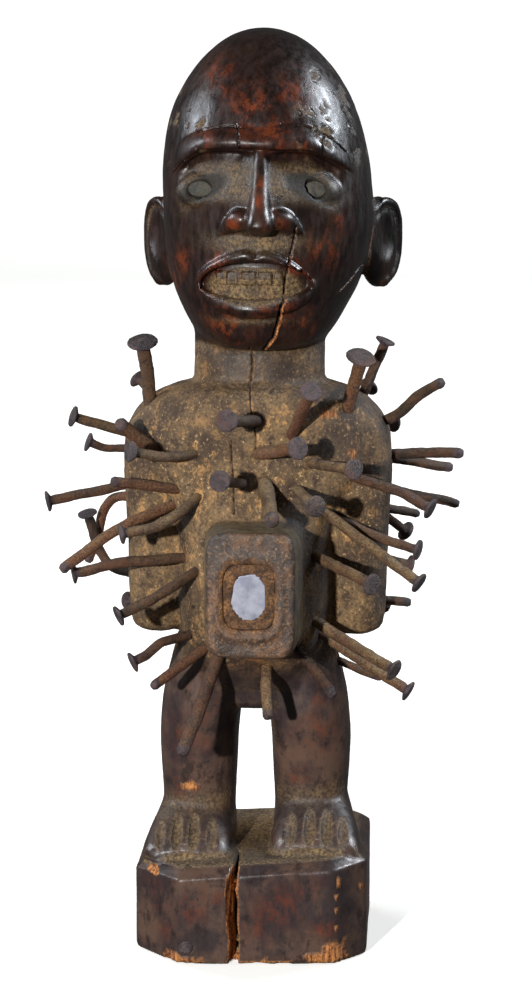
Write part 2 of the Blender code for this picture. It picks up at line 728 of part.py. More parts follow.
def nail(row):
    """One nail, from its buried end to its head or to the bare end where the head has gone."""
    name, style = row[:2]
    radius = nail_radius(row)
    points = nail_points(row)
    # A straight nail needs no ring where it enters the wood
    points.pop(1)
    radii = [radius * NAIL_TAPER] + [radius] * (len(points) - 1)
    outwards = (points[-1] - points[-2]).normalized()
    if style == "bare":
        points.append(points[-1] + outwards * radius * 0.5)
        radii.append(radius * 0.7)
    else:
        head_radius = head_radius_of(row)
        face = points.pop()
        shaft_end = 1.0 if style == "flush" else 2.2
        points += [face - outwards * NAIL_HEAD_THICKNESS * share for share in (shaft_end, 1.0, 0.0)]
        radii += [head_radius, head_radius * 0.94]
    return loft("nail_" + name, tube_rings(points, radii, NAIL_SIDES), "iron")


def head_radius_of(row):
    """A thicker nail has a wider head, and a broad one has been hammered out further."""
    _, style, thickness = row[:3]
    return NAIL_HEAD_DIAMETER / 2 * HEAD_SPREAD[style] * (0.7 + 0.3 * thickness)


def nail_cutter(row):
    """The hole that the nail was driven into, a clearance wider than its shaft."""
    buried, surface, onwards = nail_points(row)[:3]
    outwards = (surface - buried).normalized()
    reach = min(NAIL_MOUTH, (onwards - surface).length)
    radius = nail_radius(row)
    line = [buried - outwards * NAIL_CLEARANCE, surface + outwards * reach]
    radii = [radius * NAIL_TAPER, radius]
    if row[1] == "flush":
        seat = onwards - outwards * (NAIL_HEAD_THICKNESS + NAIL_CLEARANCE)
        line[1:] = [seat, seat, surface + outwards * NAIL_HEAD_THICKNESS]
        radii += [head_radius_of(row), head_radius_of(row)]
    radii = [radius + NAIL_CLEARANCE for radius in radii]
    return loft("nail_hole", tube_rings(line, radii, NAIL_SIDES), "wood")


# Joining

def collection_of(name, objects):
    """The helpers in a collection of their own, hidden from the render."""
    collection = bpy.data.collections.new(name)
    bpy.context.scene.collection.children.link(collection)
    for obj in objects:
        bpy.context.scene.collection.objects.unlink(obj)
        collection.objects.link(obj)
        obj.hide_render = True
        obj.display_type = "WIRE"
    return collection


def boolean(obj, name, operation, objects):
    modifier = obj.modifiers.new(name, "BOOLEAN")
    modifier.operation = operation
    modifier.solver = "EXACT"
    modifier.operand_type = "COLLECTION"
    modifier.collection = collection_of(name, objects)


def carved_figure():
    """Head, body, arms, legs, belly box and plinth, all one piece of wood."""
    figure = loft("figure", upright_rings(TRUNK, TRUNK_POWER, BODY_SIDES))
    sides = (-1, 1)
    forms = head_forms() + trunk_forms() + [plinth_form(), lips_form()]
    boolean(figure, "carved_forms", "UNION", forms)
    cuts = [mouth_cutter(), split_cutter(), pocket_cutter()]
    for side in sides:
        cuts += [socket_cutter(side), ear_cutter(side)]
        cuts += [toe_cutter(side, side * offset) for offset in TOE_GAPS]
    boolean(figure, "hollows", "DIFFERENCE", cuts)
    raised = [eye_mound(side) for side in sides] + teeth_forms() + nose_forms() + [brow_form()]
    boolean(figure, "raised_in_hollows", "UNION", raised)
    seats = [eye_seat_cutter(side) for side in sides] + [nail_cutter(row) for row in NAILS]
    boolean(figure, "seats", "DIFFERENCE", seats)
    return figure


def inlays():
    """The mirror in its bedding, and the glass of the eyes."""
    back = POCKET_FLOOR_Y - SEAT_CLEARANCE
    front = back - BEDDING_THICKNESS
    bedding = square_plate("mirror_bedding", BEDDING_WIDTH, BEDDING_HEIGHT, front, back, "resin")
    width = MIRROR_WIDTH + 2 * SEAT_CLEARANCE
    height = MIRROR_HEIGHT + 2 * SEAT_CLEARANCE
    mirror_back = front + MIRROR_THICKNESS
    seat_floor = mirror_back + SEAT_CLEARANCE
    seat = square_plate("mirror_seat", width, height, front - 0.002, seat_floor, "resin")
    boolean(bedding, "mirror_seats", "DIFFERENCE", [seat])
    square_plate("mirror", MIRROR_WIDTH, MIRROR_HEIGHT, front, mirror_back, "mirror")
    glass_back = EYE_SEAT_FLOOR_Y - SEAT_CLEARANCE
    glass_front = glass_back - EYE_GLASS_THICKNESS
    for side, name in ((-1, "eye_glass_left"), (1, "eye_glass_right")):
        outline = (eye_centre(side), EYE_GLASS_WIDTH, EYE_GLASS_HEIGHT)
        oval_plate(name, *outline, glass_front, glass_back, 2.2, 12, "glass")


def main():
    clear_scene()
    carved_figure()
    inlays()
    for row in NAILS:
        nail(row)


main()
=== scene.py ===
"""Looks of the nail figure: the carved wood, the rusty nails, the mirror and the glass eyes.

The figure is made as a field of signed distances from the same tables as the part's source,
turned into a mesh, carved finer where the detail is, and marked with dust, wear, bare wood,
and painted shade and highlights in its splits and holes.
Tables are in carving units: 1 mm, x and y from the plinth's middle, z above its top.
"""

import math

import bmesh
import bpy
import numpy as np
from mathutils import Matrix, Vector


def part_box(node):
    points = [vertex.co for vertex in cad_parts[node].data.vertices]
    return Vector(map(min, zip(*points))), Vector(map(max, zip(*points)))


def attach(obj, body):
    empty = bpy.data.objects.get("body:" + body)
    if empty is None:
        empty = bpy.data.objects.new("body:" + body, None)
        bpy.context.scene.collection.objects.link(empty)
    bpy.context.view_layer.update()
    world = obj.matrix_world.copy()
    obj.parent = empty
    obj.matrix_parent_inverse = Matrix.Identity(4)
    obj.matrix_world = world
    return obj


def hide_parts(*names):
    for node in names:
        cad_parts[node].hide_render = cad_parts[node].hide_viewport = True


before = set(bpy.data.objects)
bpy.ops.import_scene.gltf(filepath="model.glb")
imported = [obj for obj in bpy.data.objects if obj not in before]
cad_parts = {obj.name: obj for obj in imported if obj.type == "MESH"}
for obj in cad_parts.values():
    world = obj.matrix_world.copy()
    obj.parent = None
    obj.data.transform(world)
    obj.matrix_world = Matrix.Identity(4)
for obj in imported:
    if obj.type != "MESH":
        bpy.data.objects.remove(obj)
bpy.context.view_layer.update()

# Sizes that the frame gives
FIGURE_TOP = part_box("figure")[1][2]
CARVING_UNITS_TALL = 314
PLINTH_HEIGHT = 0.036
UNIT = (FIGURE_TOP - PLINTH_HEIGHT) / CARVING_UNITS_TALL

# The grid that the mesh starts from, and the distance where no form is near
GRID_LOW = np.array((-54.0, -61.0, -38.5))
GRID_HIGH = np.array((56.0, 51.0, 317.0))
GRID_STEP = 1.75
FAR = 12.0

# Upright forms: height, middle x, half width, front, back
SKULL = (
    (197, 3.5, 18, 28, 14), (199.5, 3.5, 23, 33, 19), (203.5, 3.5, 26.5, 35.5, 25),
    (210.5, 3.6, 30.6, 37, 32), (220, 4.2, 34.9, 38, 38.5), (232, 4.9, 37.9, 38.5, 44),
    (246, 5, 39.4, 38.8, 47.5), (260, 4.3, 39, 39.4, 47.7), (273, 3.7, 37.3, 38, 45.3),
    (285, 3.3, 34, 34.5, 41), (295, 3.2, 28.8, 29.5, 35), (304, 3.1, 21.6, 22.5, 26.5),
    (310.5, 3.1, 13.2, 14, 16.5), (313.9, 3, 1.5, 2, 2),
)
NECK = ((172, 1.5, 25.5, 19.5, 24), (182, 1.6, 24.8, 18, 23), (206, 1.8, 24.6, 18, 24))
TRUNK = (
    (68, 0.2, 22, 20, 23), (76, 0.2, 25.5, 28, 25.5), (87, 0.3, 28.5, 35.5, 26.5), (103, 0.3, 30, 39, 25),
    (120, 0.5, 30, 37.5, 24), (134, 0.8, 33, 33.5, 24.5), (146, 1, 41.5, 30.5, 25.5),
    (157, 1.1, 48, 28.5, 26), (168, 1.1, 47.6, 26.8, 25), (175.5, 1.2, 42.5, 24.8, 23.5),
    (180.5, 1.5, 33, 22, 21.5), (182.5, 1.5, 25.5, 19, 20),
)
ARM = (
    (86.5, 37.2, 7, 11, 12), (89.5, 37.6, 10.4, 15.8, 17), (96, 37.7, 11.4, 17.2, 19),
    (126, 38, 12, 17.8, 18), (150, 38.5, 12.6, 18.2, 17.5), (164, 38, 12, 17.8, 17), (175, 33, 8.4, 13, 13),
)
ARM_SHIFT = 1.1
LEG = (
    (5, 21.8, 13.6, 12.5, 17), (20, 21.8, 14.2, 13.5, 17.5), (40, 21.9, 15.2, 16, 19),
    (58, 20.6, 15.5, 18.3, 19.8), (84, 16, 14, 18, 20.5),
)
PELVIS = ((56.5, 0.2, 14, 12, 15), (60, 0.2, 18, 16, 18), (84, 0.2, 26, 22, 22))
# Feet run along the plinth: y, middle x, half width, sunk sole, instep
FOOT = (
    (-29.5, 25.2, 12, 2, 3.4), (-28, 25.1, 15, 2, 6), (-23.5, 24.8, 17, 2, 9.8),
    (-16.5, 24.3, 17.2, 2, 14.5), (-9, 23.8, 16.4, 2, 19), (6, 22.8, 15, 2, 22.5), (20.5, 21.8, 9, 2, 12),
)
FOOT_LIFT = {-1: 0.8, 1: 3.8}
FOREARM = ((37, 10, 95, 8), (33, 19, 96, 7.6), (24, 25, 98, 6.6), (12, 27, 100, 5.6))
# The belly box runs forward: y, middle x, half width, half height twice
BOX = ((-58, 2, 15.2, 22.3, 22.3), (-57, 2, 16.1, 23.2, 23.2), (-28, 2, 18.6, 23, 23))
BOX_Z = 110.9
POCKET_X = 1.5
POCKET_Z = 110.5
POCKET_HALF = (9.25, 12.0)
POCKET_FLOOR = -53.8

# The middle of the face, and where its front ends
FACE_X = 3.8
FACE_BACK = -12.0
# The brow band's lower and upper edges: x, z
BROW_LOWER = (
    (-38, 249), (-34, 255), (-29.5, 260.5), (-23.3, 266.7), (-15.2, 270.3), (-3.3, 270.9), (9.6, 270.4),
    (20.7, 270), (28.8, 266.8), (36.8, 262), (43, 254),
)
BROW_UPPER = (
    (-38, 255), (-34, 262), (-29, 269.5), (-22, 275.4), (-12.5, 278.3), (-3, 278.5), (4, 277.3),
    (11.8, 279.3), (19.1, 279), (28.4, 275.5), (34.9, 269.5), (43, 259),
)
BROW_PROUD = 3.0
RECESS_DEPTH = 5.0
EYE_X = 2.8
EYE_OFFSET = 20.8
EYE_Z = 256.0
EYE_SLOPE = 12.0
LID_FRONT = -32.6
NOSE_X = 4.6
# The nose from its tip up to the bridge: z, middle y, half width, half depth
NOSE = (
    (240, -44, 3.2, 3.5), (243.5, -46.2, 4.8, 5), (250.5, -43.5, 3.8, 5), (260, -40, 2.8, 3.5),
    (270.5, -37, 2.2, 2.5),
)
# The slopes beside the nose's ridge: z, half width, height over the face
NOSE_SLOPES = (
    (238, 9, -4), (240.5, 12, 2), (244, 14, 5.6), (249, 13, 6.2), (256, 10.5, 4.2), (262, 8.5, 2),
    (268, 7, 0), (272, 6, -4),
)
# One wing of the nose, from the ridge outwards: x, y, z, radius
WING = (
    (2.5, -43, 245.4, 3), (7.5, -41.2, 245.6, 3.9), (11.6, -38.4, 242.6, 2.7), (14.2, -36.6, 240.2, 1.1),
)
# Middle line of the lips, all round: x, z, radius
LIPS = (
    (-19.2, 222, 1.3), (-16, 225.6, 1.8), (-11, 228.9, 2.2), (-5, 231.5, 2.4), (-0.6, 232.3, 2.4),
    (2.6, 230.5, 1.9), (6, 232, 2.4), (13, 229.6, 2.2), (19.2, 225.2, 1.8), (23.2, 221, 1.3),
    (19.5, 216.9, 2.2), (12, 214.2, 3.1), (1, 213.2, 3.7), (-7, 214.3, 3.3), (-14, 217.4, 2.3),
)
MOUTH_MIDDLE = (2.2, 221.6)
MOUTH_HALF_WIDTH = 20.0
MOUTH_RISE = 8.6
MOUTH_DROP = 5.2
MOUTH_DEPTH = 2.2
# Teeth: x, width
TEETH = ((-10.6, 3.2), (-5.9, 4.6), (0.1, 5.6), (6.1, 5), (10.9, 3.2))
TOOTH_LOW, TOOTH_HIGH = 221.8, 226.6
LIP_FLATTENING = 0.85
NOSTRIL_Z = 243.2
EAR_X = {-1: -35.4, 1: 45.6}
EAR_Y, EAR_Z = 15, 234
EAR_TURN = 26.0
# Ridges on the ear: out, back and up from its middle, radius
EAR_RIM = (
    (2, -7, 12, 1.2), (3, -1, 15.2, 1.8), (3.4, 5.5, 13.5, 2.1), (3.4, 9.5, 6, 2.2), (3.2, 9.8, -3, 2.2),
    (2.8, 6.5, -11, 2.3), (2.2, 0.5, -14.5, 2.6),
)
EAR_FOLD = (
    (2.2, 1.5, 9, 0.9), (3.2, 4.6, 4.5, 1.3), (3.2, 4.8, -2, 1.4), (2.6, 1, -7, 1.2), (1.8, -4, -7.5, 0.9),
)
TOE_GAPS = (-10.2, -3.0, 3.6, 10.1)
TOE_GAP_RADII = (2.3, 10.5, 3.6)
TOE_GAP_SLOPE = 40.0
TOE_X = 25.2
TOE_GAP_Y = -24.0
TOE_GAP_Z = 11.0

# The plinth, seen from above anticlockwise: x, y
PLINTH_CORNERS = (
    (-44.6, -25), (-26.6, -43), (32.6, -39), (44.6, -27), (44.6, 25), (31.6, 38), (-31.6, 38), (-44.6, 25),
)
PLINTH_TOP_RISE = 5.5
PLINTH_WIDTH = 89.2
# The plinth's underside
PLINTH_LOW = -36.0
PLINTH_TOP_BEVEL = 3.5
PLINTH_TOP_INSET = 4.5
# The split in its front: y, left wall x, right wall x
SPLIT_WALLS = ((-44, -8.55, -4.25), (-36, -5.65, -4.25), (-17, -5.2, -4.7))

# Places worn to red: x, z, size
WORN_SPOTS = (
    (1, 284, 9), (-12, 297, 5), (-11, 291, 3), (16, 291, 6), (9, 276, 6), (-17, 274, 4), (19, 273, 4),
    (4.6, 259, 3), (4.6, 252, 3), (-27, 229, 5), (-30, 222, 4), (28, 235, 6), (33, 245, 3), (20, 207, 5),
    (-8, 206, 7), (-12, 216, 5), (10, 214, 7), (15, 229, 4), (-11, 230, 4), (10, 245, 4), (-5, 244, 3),
    (-24, 46, 8), (-18, 60, 6), (24, 48, 8), (17, 31, 5), (-27, 25, 5), (30, 24, 3), (26, 66, 6),
    (-22, -14, 6), (-31, -24, 4), (-14, -9, 5), (12, -12, 8), (22, -6, 5), (4, -20, 6), (29, -22, 5),
    (-37, -9, 4), (-34, -16, 3), (-40, 106, 7), (43, 100, 6), (46, 114, 5), (-41, 127, 5), (37, 159, 3),
    (20, 172, 3), (33, 122, 4), (-18, 76, 6), (22, 80, 5), (2, 80, 5),
)
# Splits in the wood: furthest back y, half width, depth, fresh edge, then x and z along them; the fresh
# edge is bare wood drawn only on the split's right wall, as a painted highlight where the key light falls
SPLITS = (
    (-20, 0.45, 2.2, 0.08, ((17.6, 243), (16.8, 239.9), (14.7, 230.2), (13.3, 223.7), (12.6, 216.4))),
    (-20, 0.75, 2.6, 1, ((12.6, 216.4), (10.4, 207.3), (8.6, 202), (5, 197.5))),
    (-8, 0.25, 0.8, 0.5, ((44, 229), (39.6, 226.5), (36.2, 222), (32.4, 218.2))),
    (-8, 0.35, 1.6, 0.2, ((-0.2, 199), (0.2, 190), (-0.6, 182.8), (-0.3, 177), (0.4, 172))),
    (-15, 0.35, 1.6, 0.1, ((1.2, 172), (1.6, 168), (2, 164), (2.2, 159.5))),
    (-15, 0.4, 1.8, 0.1, ((-7.2, 163), (-6.9, 156), (-6.2, 148.9), (-5.9, 142), (-5.7, 136.5))),
    (-15, 0.35, 1.2, 0, ((-4.2, 279), (-3.4, 275.5), (-3.6, 273.5), (-2.6, 270))),
    (-15, 0.3, 1, 0, ((27, 275), (26.7, 271.5), (27.4, 266.6))),
    (-15, 0.3, 0.9, 0, ((-17, 277), (-12.5, 278.2), (-7.5, 278.8), (-3, 278.3))),
    (-10, 0.32, 1, 0, ((11.8, 279.6), (19.1, 279.2), (28.4, 275.7), (34.9, 269.1))),
)
# The split in the ear: x, z
EAR_SPLIT = ((44.8, 254.5), (43.9, 248), (43.4, 240), (43, 234), (42.6, 226))
# Fresh wood, most of it on the plinth: x, z, half width, half height, back y
FRESH_SPOTS = (
    (-26.5, -34.5, 7, 2.4, -20), (29, -33.5, 10, 2.2, -20), (32.5, -30, 4.2, 4.5, -20),
    (-37.5, -2.5, 2.6, 1.6, -20), (34, -3.5, 0.9, 2.4, -30), (33.4, -10, 0.7, 1.3, -30),
    (33.8, -15, 0.8, 1.6, -30), (33.4, -22.5, 0.7, 1.2, -30), (42.5, -8, 1.4, 2, -20),
    (8, -35.3, 16, 0.9, -20), (-23.8, 25.6, 4.4, 1.4, -8), (37.5, 158, 1.4, 2.2, -8), (28, 173, 3, 1.6, -8),
)
# The crease over one eye: x, z
LID_RIDGE = ((-23.8, 253.8), (-22.4, 251.4), (-20.4, 250.2), (-18, 250.8), (-15.9, 252.8))
# Small holes in the wood, painted as spots of shade with no depth: x, z, radius
SMALL_HOLES = ((-20.9, 100.6, 1), (35.5, 158.5, 0.8))

# Nails: name, head, thickness share, then points from the wood outwards
NAILS = (
    ("shoulder_left_1", "broad", 1.35, (-39.5, -8, 175), (-40, -12, 187), (-41.1, -17, 199)),
    ("shoulder_left_2", "round", 0.9, (-38.5, 9, 173.5), (-47, 15, 181)),
    ("shoulder_left_3", "bare", 1.3, (-35.5, -19, 157.5), (-42, -25.5, 163.5), (-48.5, -33, 170.5)),
    ("arm_left_1", "round", 1, (-48.5, 0, 161.5), (-69.5, -8, 169)),
    ("arm_left_2", "round", 0.8, (-48.5, 7, 154.5), (-57, 6, 154.5), (-65.5, 4, 157.5)),
    ("arm_left_3", "round", 1, (-49, 2, 141.3), (-80, -6, 135.5)),
    ("arm_left_4", "bare", 1, (-49, 6, 136), (-56, 13, 134), (-61.5, 19, 127), (-63.8, 21, 117),
     (-68, 20, 106.5)),
    ("arm_left_5", "round", 1, (-49, 10, 104.5), (-57, 13, 106), (-62, 15, 111), (-65, 15, 119),
     (-67, 13, 128)),
    ("arm_left_6", "round", 0.8, (-45, 15, 93), (-52.5, 20, 91)),
    ("chest_left_1", "round", 1, (-22.2, -27, 157.8), (-29.5, -35.5, 158.2), (-42.8, -46, 161.9)),
    ("chest_left_2", "bare", 1, (-29.5, -24, 144.2), (-51.2, -34, 148.6)),
    ("chest_left_3", "bare", 1.05, (-33.5, -20, 135.8), (-49, -29, 130), (-69.3, -41, 116)),
    ("belly_left_1", "round", 1, (-20.6, -29, 141), (-27, -38, 136.5), (-34, -42, 133), (-46.6, -46, 131)),
    ("belly_left_2", "round", 1.05, (-27, -23, 117.6), (-43, -29, 117.5), (-66.6, -32, 113)),
    ("belly_left_3", "round", 1, (-21, -31, 113.6), (-31, -42, 108.5), (-47.5, -50, 101)),
    ("hip_left_1", "round", 0.95, (-25, -25, 88), (-33, -31, 87), (-39, -35, 82.5), (-44, -37, 80.3)),
    ("hip_left_2", "bare", 1, (-18.5, -29, 83.2), (-35.7, -42, 72.4)),
    ("hip_left_3", "bare", 1.3, (-12.1, -32, 81), (-18, -43, 64), (-24, -52, 49.4)),
    ("crotch_1", "bare", 1.1, (6, -27, 77.5), (6.8, -37, 69.5), (7.6, -42, 60.9)),
    ("hip_right_1", "bare", 1.1, (19.5, -29, 83.6), (32.1, -42, 70.2)),
    ("hip_right_2", "round", 1.1, (25.5, -26, 94), (54.7, -44, 80.7)),
    ("hip_right_3", "round", 1, (27.5, -20, 87.5), (45, -30, 78.5), (60.1, -35, 70.5)),
    ("hip_right_4", "bare", 0.8, (31.5, -2, 74), (49, -12, 69.6)),
    ("belly_right_1", "round", 1.1, (24.7, -27, 119.8), (46.3, -52, 114.5)),
    ("belly_right_2", "round", 1.05, (29.2, -24, 134.8), (63.5, -40, 112.8)),
    ("belly_right_3", "round", 0.95, (37.5, -19, 130.6), (49, -25, 126.5), (63, -30, 123.2)),
    ("arm_right_1", "round", 1, (41.2, -20, 147.8), (54, -26, 145), (67.3, -32, 139.1)),
    ("chest_right_1", "round", 1, (22.1, -26, 154.9), (39.3, -50, 156.7)),
    ("chest_right_2", "round", 1, (17, -28, 145.5), (25.7, -56, 143.9)),
    ("chest_mid_1", "round", 1.15, (3, -27, 158.2), (19.2, -52, 164.6)),
    ("chest_right_3", "round", 1.1, (15.4, -26, 165.7), (23.4, -46, 184.7)),
    ("chest_mid_2", "round", 1.1, (2.2, -25, 170.2), (-6.8, -52, 174.4)),
    ("chest_mid_3", "round", 0.95, (-2.7, -29, 147.4), (-9.2, -56, 152.9)),
    ("chest_mid_4", "bare", 1.45, (5.7, -29, 147), (10, -58, 138.6)),
    ("shoulder_right_1", "broad", 1.25, (34.9, -15, 170.2), (38, -21, 184), (40.9, -27, 195)),
    ("shoulder_right_2", "round", 1, (38.5, 4, 171.5), (49.5, 2, 198)),
    ("shoulder_right_3", "round", 0.9, (37.5, 12, 172), (43, 20, 178)),
    ("shoulder_right_4", "bare", 1.05, (47.5, 0, 166.5), (55, -3, 170.5), (62, -4, 177.5),
     (71.3, -6, 183.4)),
    ("arm_right_2", "bare", 1.05, (50, -1, 154.4), (64, -5, 156), (78.9, -9, 156.5)),
    ("arm_right_3", "bare", 1, (50, 8, 152), (75.3, 13, 147.3)),
    ("arm_right_4", "bare", 0.95, (50, 9, 139.5), (78, 12, 133.2)),
    ("arm_right_5", "round", 0.95, (48, 9, 130), (58, 17, 121)),
    ("arm_right_6", "round", 0.75, (46, 14, 165), (53, 20, 163.5)),
    ("arm_right_7", "bare", 0.9, (48, 16, 131), (62.5, 26, 126.5)),
    ("arm_right_8", "round", 0.9, (49, 5, 113), (60, 9, 109.5)),
    ("arm_right_9", "bare", 0.95, (47.5, 4, 96.6), (60, 3, 96)),
    ("arm_right_10", "round", 0.8, (43, 15, 95), (49.5, 22, 90.5)),
    ("plinth", "flush", 0.8, (-23.6, -42.8, -29.2), (-23.6, -43.2, -29.2)),
    ("back_1", "round", 1, (-19, 24, 160), (-27, 50, 168)),
    ("back_2", "bare", 1, (4, 24, 150), (9, 48, 152)), ("back_3", "round", 1, (24, 23, 161), (34, 48, 160)),
    ("back_4", "round", 1.05, (-24, 22, 136), (-36, 46, 133)),
    ("back_5", "round", 1, (17, 24, 132), (20, 52, 124)),
    ("back_6", "bare", 0.95, (-6, 23, 128), (-10, 45, 135)),
)
NAIL_RADIUS = 1.9
NAIL_HEAD_RADIUS = 4.0
NAIL_HEAD_THICKNESS = 1.2
NAIL_DRIVEN_DEPTH = 11.0
NAIL_TAPER = 0.72
NAIL_SIDES = 18
# Rings of a head, from its back to its face: thicknesses back from the end, share of its radius
HEAD_RINGS = ((1.7, 0.45), (1.1, 0.82), (0.8, 0.98), (0.45, 1), (0.12, 0.95), (0, 0.82), (-0.12, 0.5))
# How dusty and how orange some of the nails are
NAIL_TONES = {
    "chest_mid_4": (1.3, 0.1), "chest_right_1": (1.2, 0.1), "chest_right_2": (1.2, 0.1),
    "chest_mid_1": (0.7, 1), "chest_left_1": (0.9, 0), "belly_right_1": (1, 0.3),
    "belly_right_2": (1.1, 0.2), "belly_left_1": (0.9, 0), "chest_left_3": (0.5, 0.9),
    "chest_right_3": (0.1, 0.8), "chest_left_2": (0.3, 0.6), "hip_left_2": (0.2, 0.7),
    "shoulder_right_1": (0.6, 0.8), "arm_left_4": (0.3, 0.9), "hip_right_2": (1, 0.3),
    "hip_right_3": (0.9, 0.4), "crotch_1": (1, 0.6), "shoulder_left_3": (0.7, 0.8),
}
HEAD_SPREAD = {"round": 1.0, "broad": 1.3, "flush": 0.75}
# The colour of khaki dust
DUST = (0.25, 0.165, 0.075)

# Camera, as the photograph was taken, in metres, degrees and millimetres of lens
CAMERA_AZIMUTH = 4.0
CAMERA_DISTANCE = 0.90
CAMERA_HEIGHT = 0.335
CAMERA_TARGET = (0.0, 0.0, 0.172)
CAMERA_LENS = 85.8
CAMERA_SENSOR = 36.0
CAMERA_SHIFT_X = 0.0105


# Numbers along a table

def curve_through(knots, values):
    """A smooth curve through values, with no overshoot between them, as a function of arrays."""
    knots = np.asarray(knots, float)
    values = np.asarray(values, float)
    steps = np.diff(knots)
    slopes = np.diff(values) / steps
    tangents = np.zeros_like(values)
    near, far = slopes[:-1], slopes[1:]
    rising = near * far > 0
    weights = (2 * steps[1:] + steps[:-1])[rising], (steps[1:] + 2 * steps[:-1])[rising]
    tangents[1:-1][rising] = sum(weights) / (weights[0] / near[rising] + weights[1] / far[rising])
    tangents[0], tangents[-1] = slopes[0], slopes[-1]

    def value_at(at):
        at = np.clip(at, knots[0], knots[-1])
        i = np.clip(np.searchsorted(knots, at) - 1, 0, len(steps) - 1)
        t = (at - knots[i]) / steps[i]
        rise = values[i] + (values[i + 1] - values[i]) * t * t * (3 - 2 * t)
        bend = tangents[i] * t * (1 - t) ** 2 - tangents[i + 1] * t * t * (1 - t)
        return rise + bend * steps[i]

    return value_at


def soft_step(low, high, value):
    t = np.clip((value - low) / (high - low), 0.0, 1.0)
    return t * t * (3 - 2 * t)


def between(low, full, fading, high, value):
    """0 outside low and high, 1 from full to fading, and smooth steps between them."""
    return soft_step(low, full, value) * (1 - soft_step(fading, high, value))


def hill(width, away):
    """1 in the middle, fading smoothly over a width."""
    return np.exp(-((away / width) ** 2))


NOISE_TURN = np.array(Matrix.Rotation(0.9, 3, Vector((0.5, 0.7, 0.4))))


def noise(p, size, seed):
    """Smooth noise from -1 to 1 whose bumps are about the given size."""
    cells = 24
    lattice = np.random.default_rng(seed).uniform(-1, 1, (cells, cells, cells))
    q = p @ NOISE_TURN / size
    low = np.floor(q).astype(int)
    t = q - low
    t = t * t * (3 - 2 * t)
    total = np.zeros(len(p))
    for corner in np.ndindex(2, 2, 2):
        weight = np.where(corner, t, 1 - t).prod(axis=1)
        i, j, k = ((low + corner) % cells).T
        total += weight * lattice[i, j, k]
    return total


def rough_noise(p, size, seed, octaves=4):
    """Noise with finer and fainter noise on top."""
    total = np.zeros(len(p))
    for octave in range(octaves):
        total += noise(p, size / 2**octave, seed + octave) / 2**octave
    return total / 1.6


# Distances to forms, negative inside

class Loft:
    """A form through ovals: rows of place, middle u, half width, reach to -v and reach to +v."""

    def __init__(self, rows, power):
        places, middle, *sizes = zip(*rows)
        self.low, self.high = places[0], places[-1]
        self.middle = curve_through(places, middle)
        self.sizes = [curve_through(places, np.square(size)) for size in sizes]
        self.power = power

    def distance(self, place, u, v):
        inside = np.clip(place, self.low, self.high)
        half, minus, plus = (np.sqrt(size(inside)) for size in self.sizes)
        u = u - self.middle(inside)
        across = np.where(v < 0, minus, plus)
        reach = np.hypot(u, v) + 1e-6
        share = ((np.abs(u) / half) ** self.power + (np.abs(v) / across) ** self.power) ** (1 / self.power)
        slope = np.sqrt(self.sizes[0](inside + 0.5)) - np.sqrt(self.sizes[0](inside - 0.5))
        radial = (reach - reach / np.maximum(share, 1e-6)) / np.sqrt(1 + np.minimum(slope**2, 9))
        beyond = np.maximum(self.low - place, place - self.high)
        outside = np.hypot(np.maximum(radial, 0), np.maximum(beyond, 0))
        return outside + np.minimum(np.maximum(radial, beyond), 0)


def oval(p, centre, radii, turn=None):
    """Distance to an ellipsoid, turned by a matrix about its centre."""
    local = p - centre
    if turn is not None:
        local = local @ turn
    share = np.linalg.norm(local / radii, axis=1) + 1e-9
    steep = np.linalg.norm(local / np.square(radii), axis=1) + 1e-9
    return share * (share - 1) / steep


def tube(p, points, radii):
    """Distance to a tube through points, its radius changing along it."""
    nearest = np.full(len(p), FAR)
    points = np.asarray(points, float)
    for a, b, ra, rb in zip(points, points[1:], radii, radii[1:]):
        along = b - a
        t = np.clip((p - a) @ along / (along @ along), 0, 1)
        gap = np.linalg.norm(p - a - t[:, None] * along, axis=1) - (ra + (rb - ra) * t)
        nearest = np.minimum(nearest, gap)
    return nearest


def block(p, centre, half, corner=0.3):
    """Distance to a box with rounded edges."""
    q = np.abs(p - centre) - (np.asarray(half) - corner)
    return np.linalg.norm(np.maximum(q, 0), axis=1) + np.minimum(q.max(axis=1), 0) - corner


def path_distance(x, z, points):
    """Distance in the xz plane to a line through points."""
    nearest = np.full(len(x), 1e3)
    for (ax, az), (bx, bz) in zip(points, points[1:]):
        t = ((x - ax) * (bx - ax) + (z - az) * (bz - az)) / ((bx - ax) ** 2 + (bz - az) ** 2)
        t = np.clip(t, 0, 1)
        nearest = np.minimum(nearest, np.hypot(x - ax - t * (bx - ax), z - az - t * (bz - az)))
    return nearest


def turned(axis, degrees):
    return np.array(Matrix.Rotation(math.radians(degrees), 3, axis))


def join(a, b, blend):
    """Union of two distances with a fillet of the given size."""
    mix = np.maximum(blend - np.abs(a - b), 0) / blend
    return np.minimum(a, b) - mix * mix * blend / 4


def carve(a, b, blend):
    """The first distance less the second form, with a rounded edge."""
    return -join(-a, b, blend)


# The forms of the figure

SKULL_FORM = Loft(SKULL, 2.15)
NECK_FORM = Loft(NECK, 2.3)
TRUNK_FORM = Loft(TRUNK, 2.5)
ARM_FORM = Loft(ARM, 3.0)
LEG_FORM = Loft(LEG, 2.2)
PELVIS_FORM = Loft(PELVIS, 2.2)
FOOT_FORM = Loft(FOOT, 2.6)
BOX_FORM = Loft(BOX, 7.0)
NOSE_FORM = Loft([(z, 0.0, width, depth, depth) for z, _, width, depth in NOSE], 2.2)
NOSE_Y = curve_through(*list(zip(*NOSE))[:2])
SLOPE_Z, SLOPE_HALF, SLOPE_HIGH = zip(*NOSE_SLOPES)
NOSE_HALF = curve_through(SLOPE_Z, SLOPE_HALF)
NOSE_HIGH = curve_through(SLOPE_Z, SLOPE_HIGH)
BROW_LOW_Z = curve_through(*zip(*BROW_LOWER))
BROW_HIGH_Z = curve_through(*zip(*BROW_UPPER))


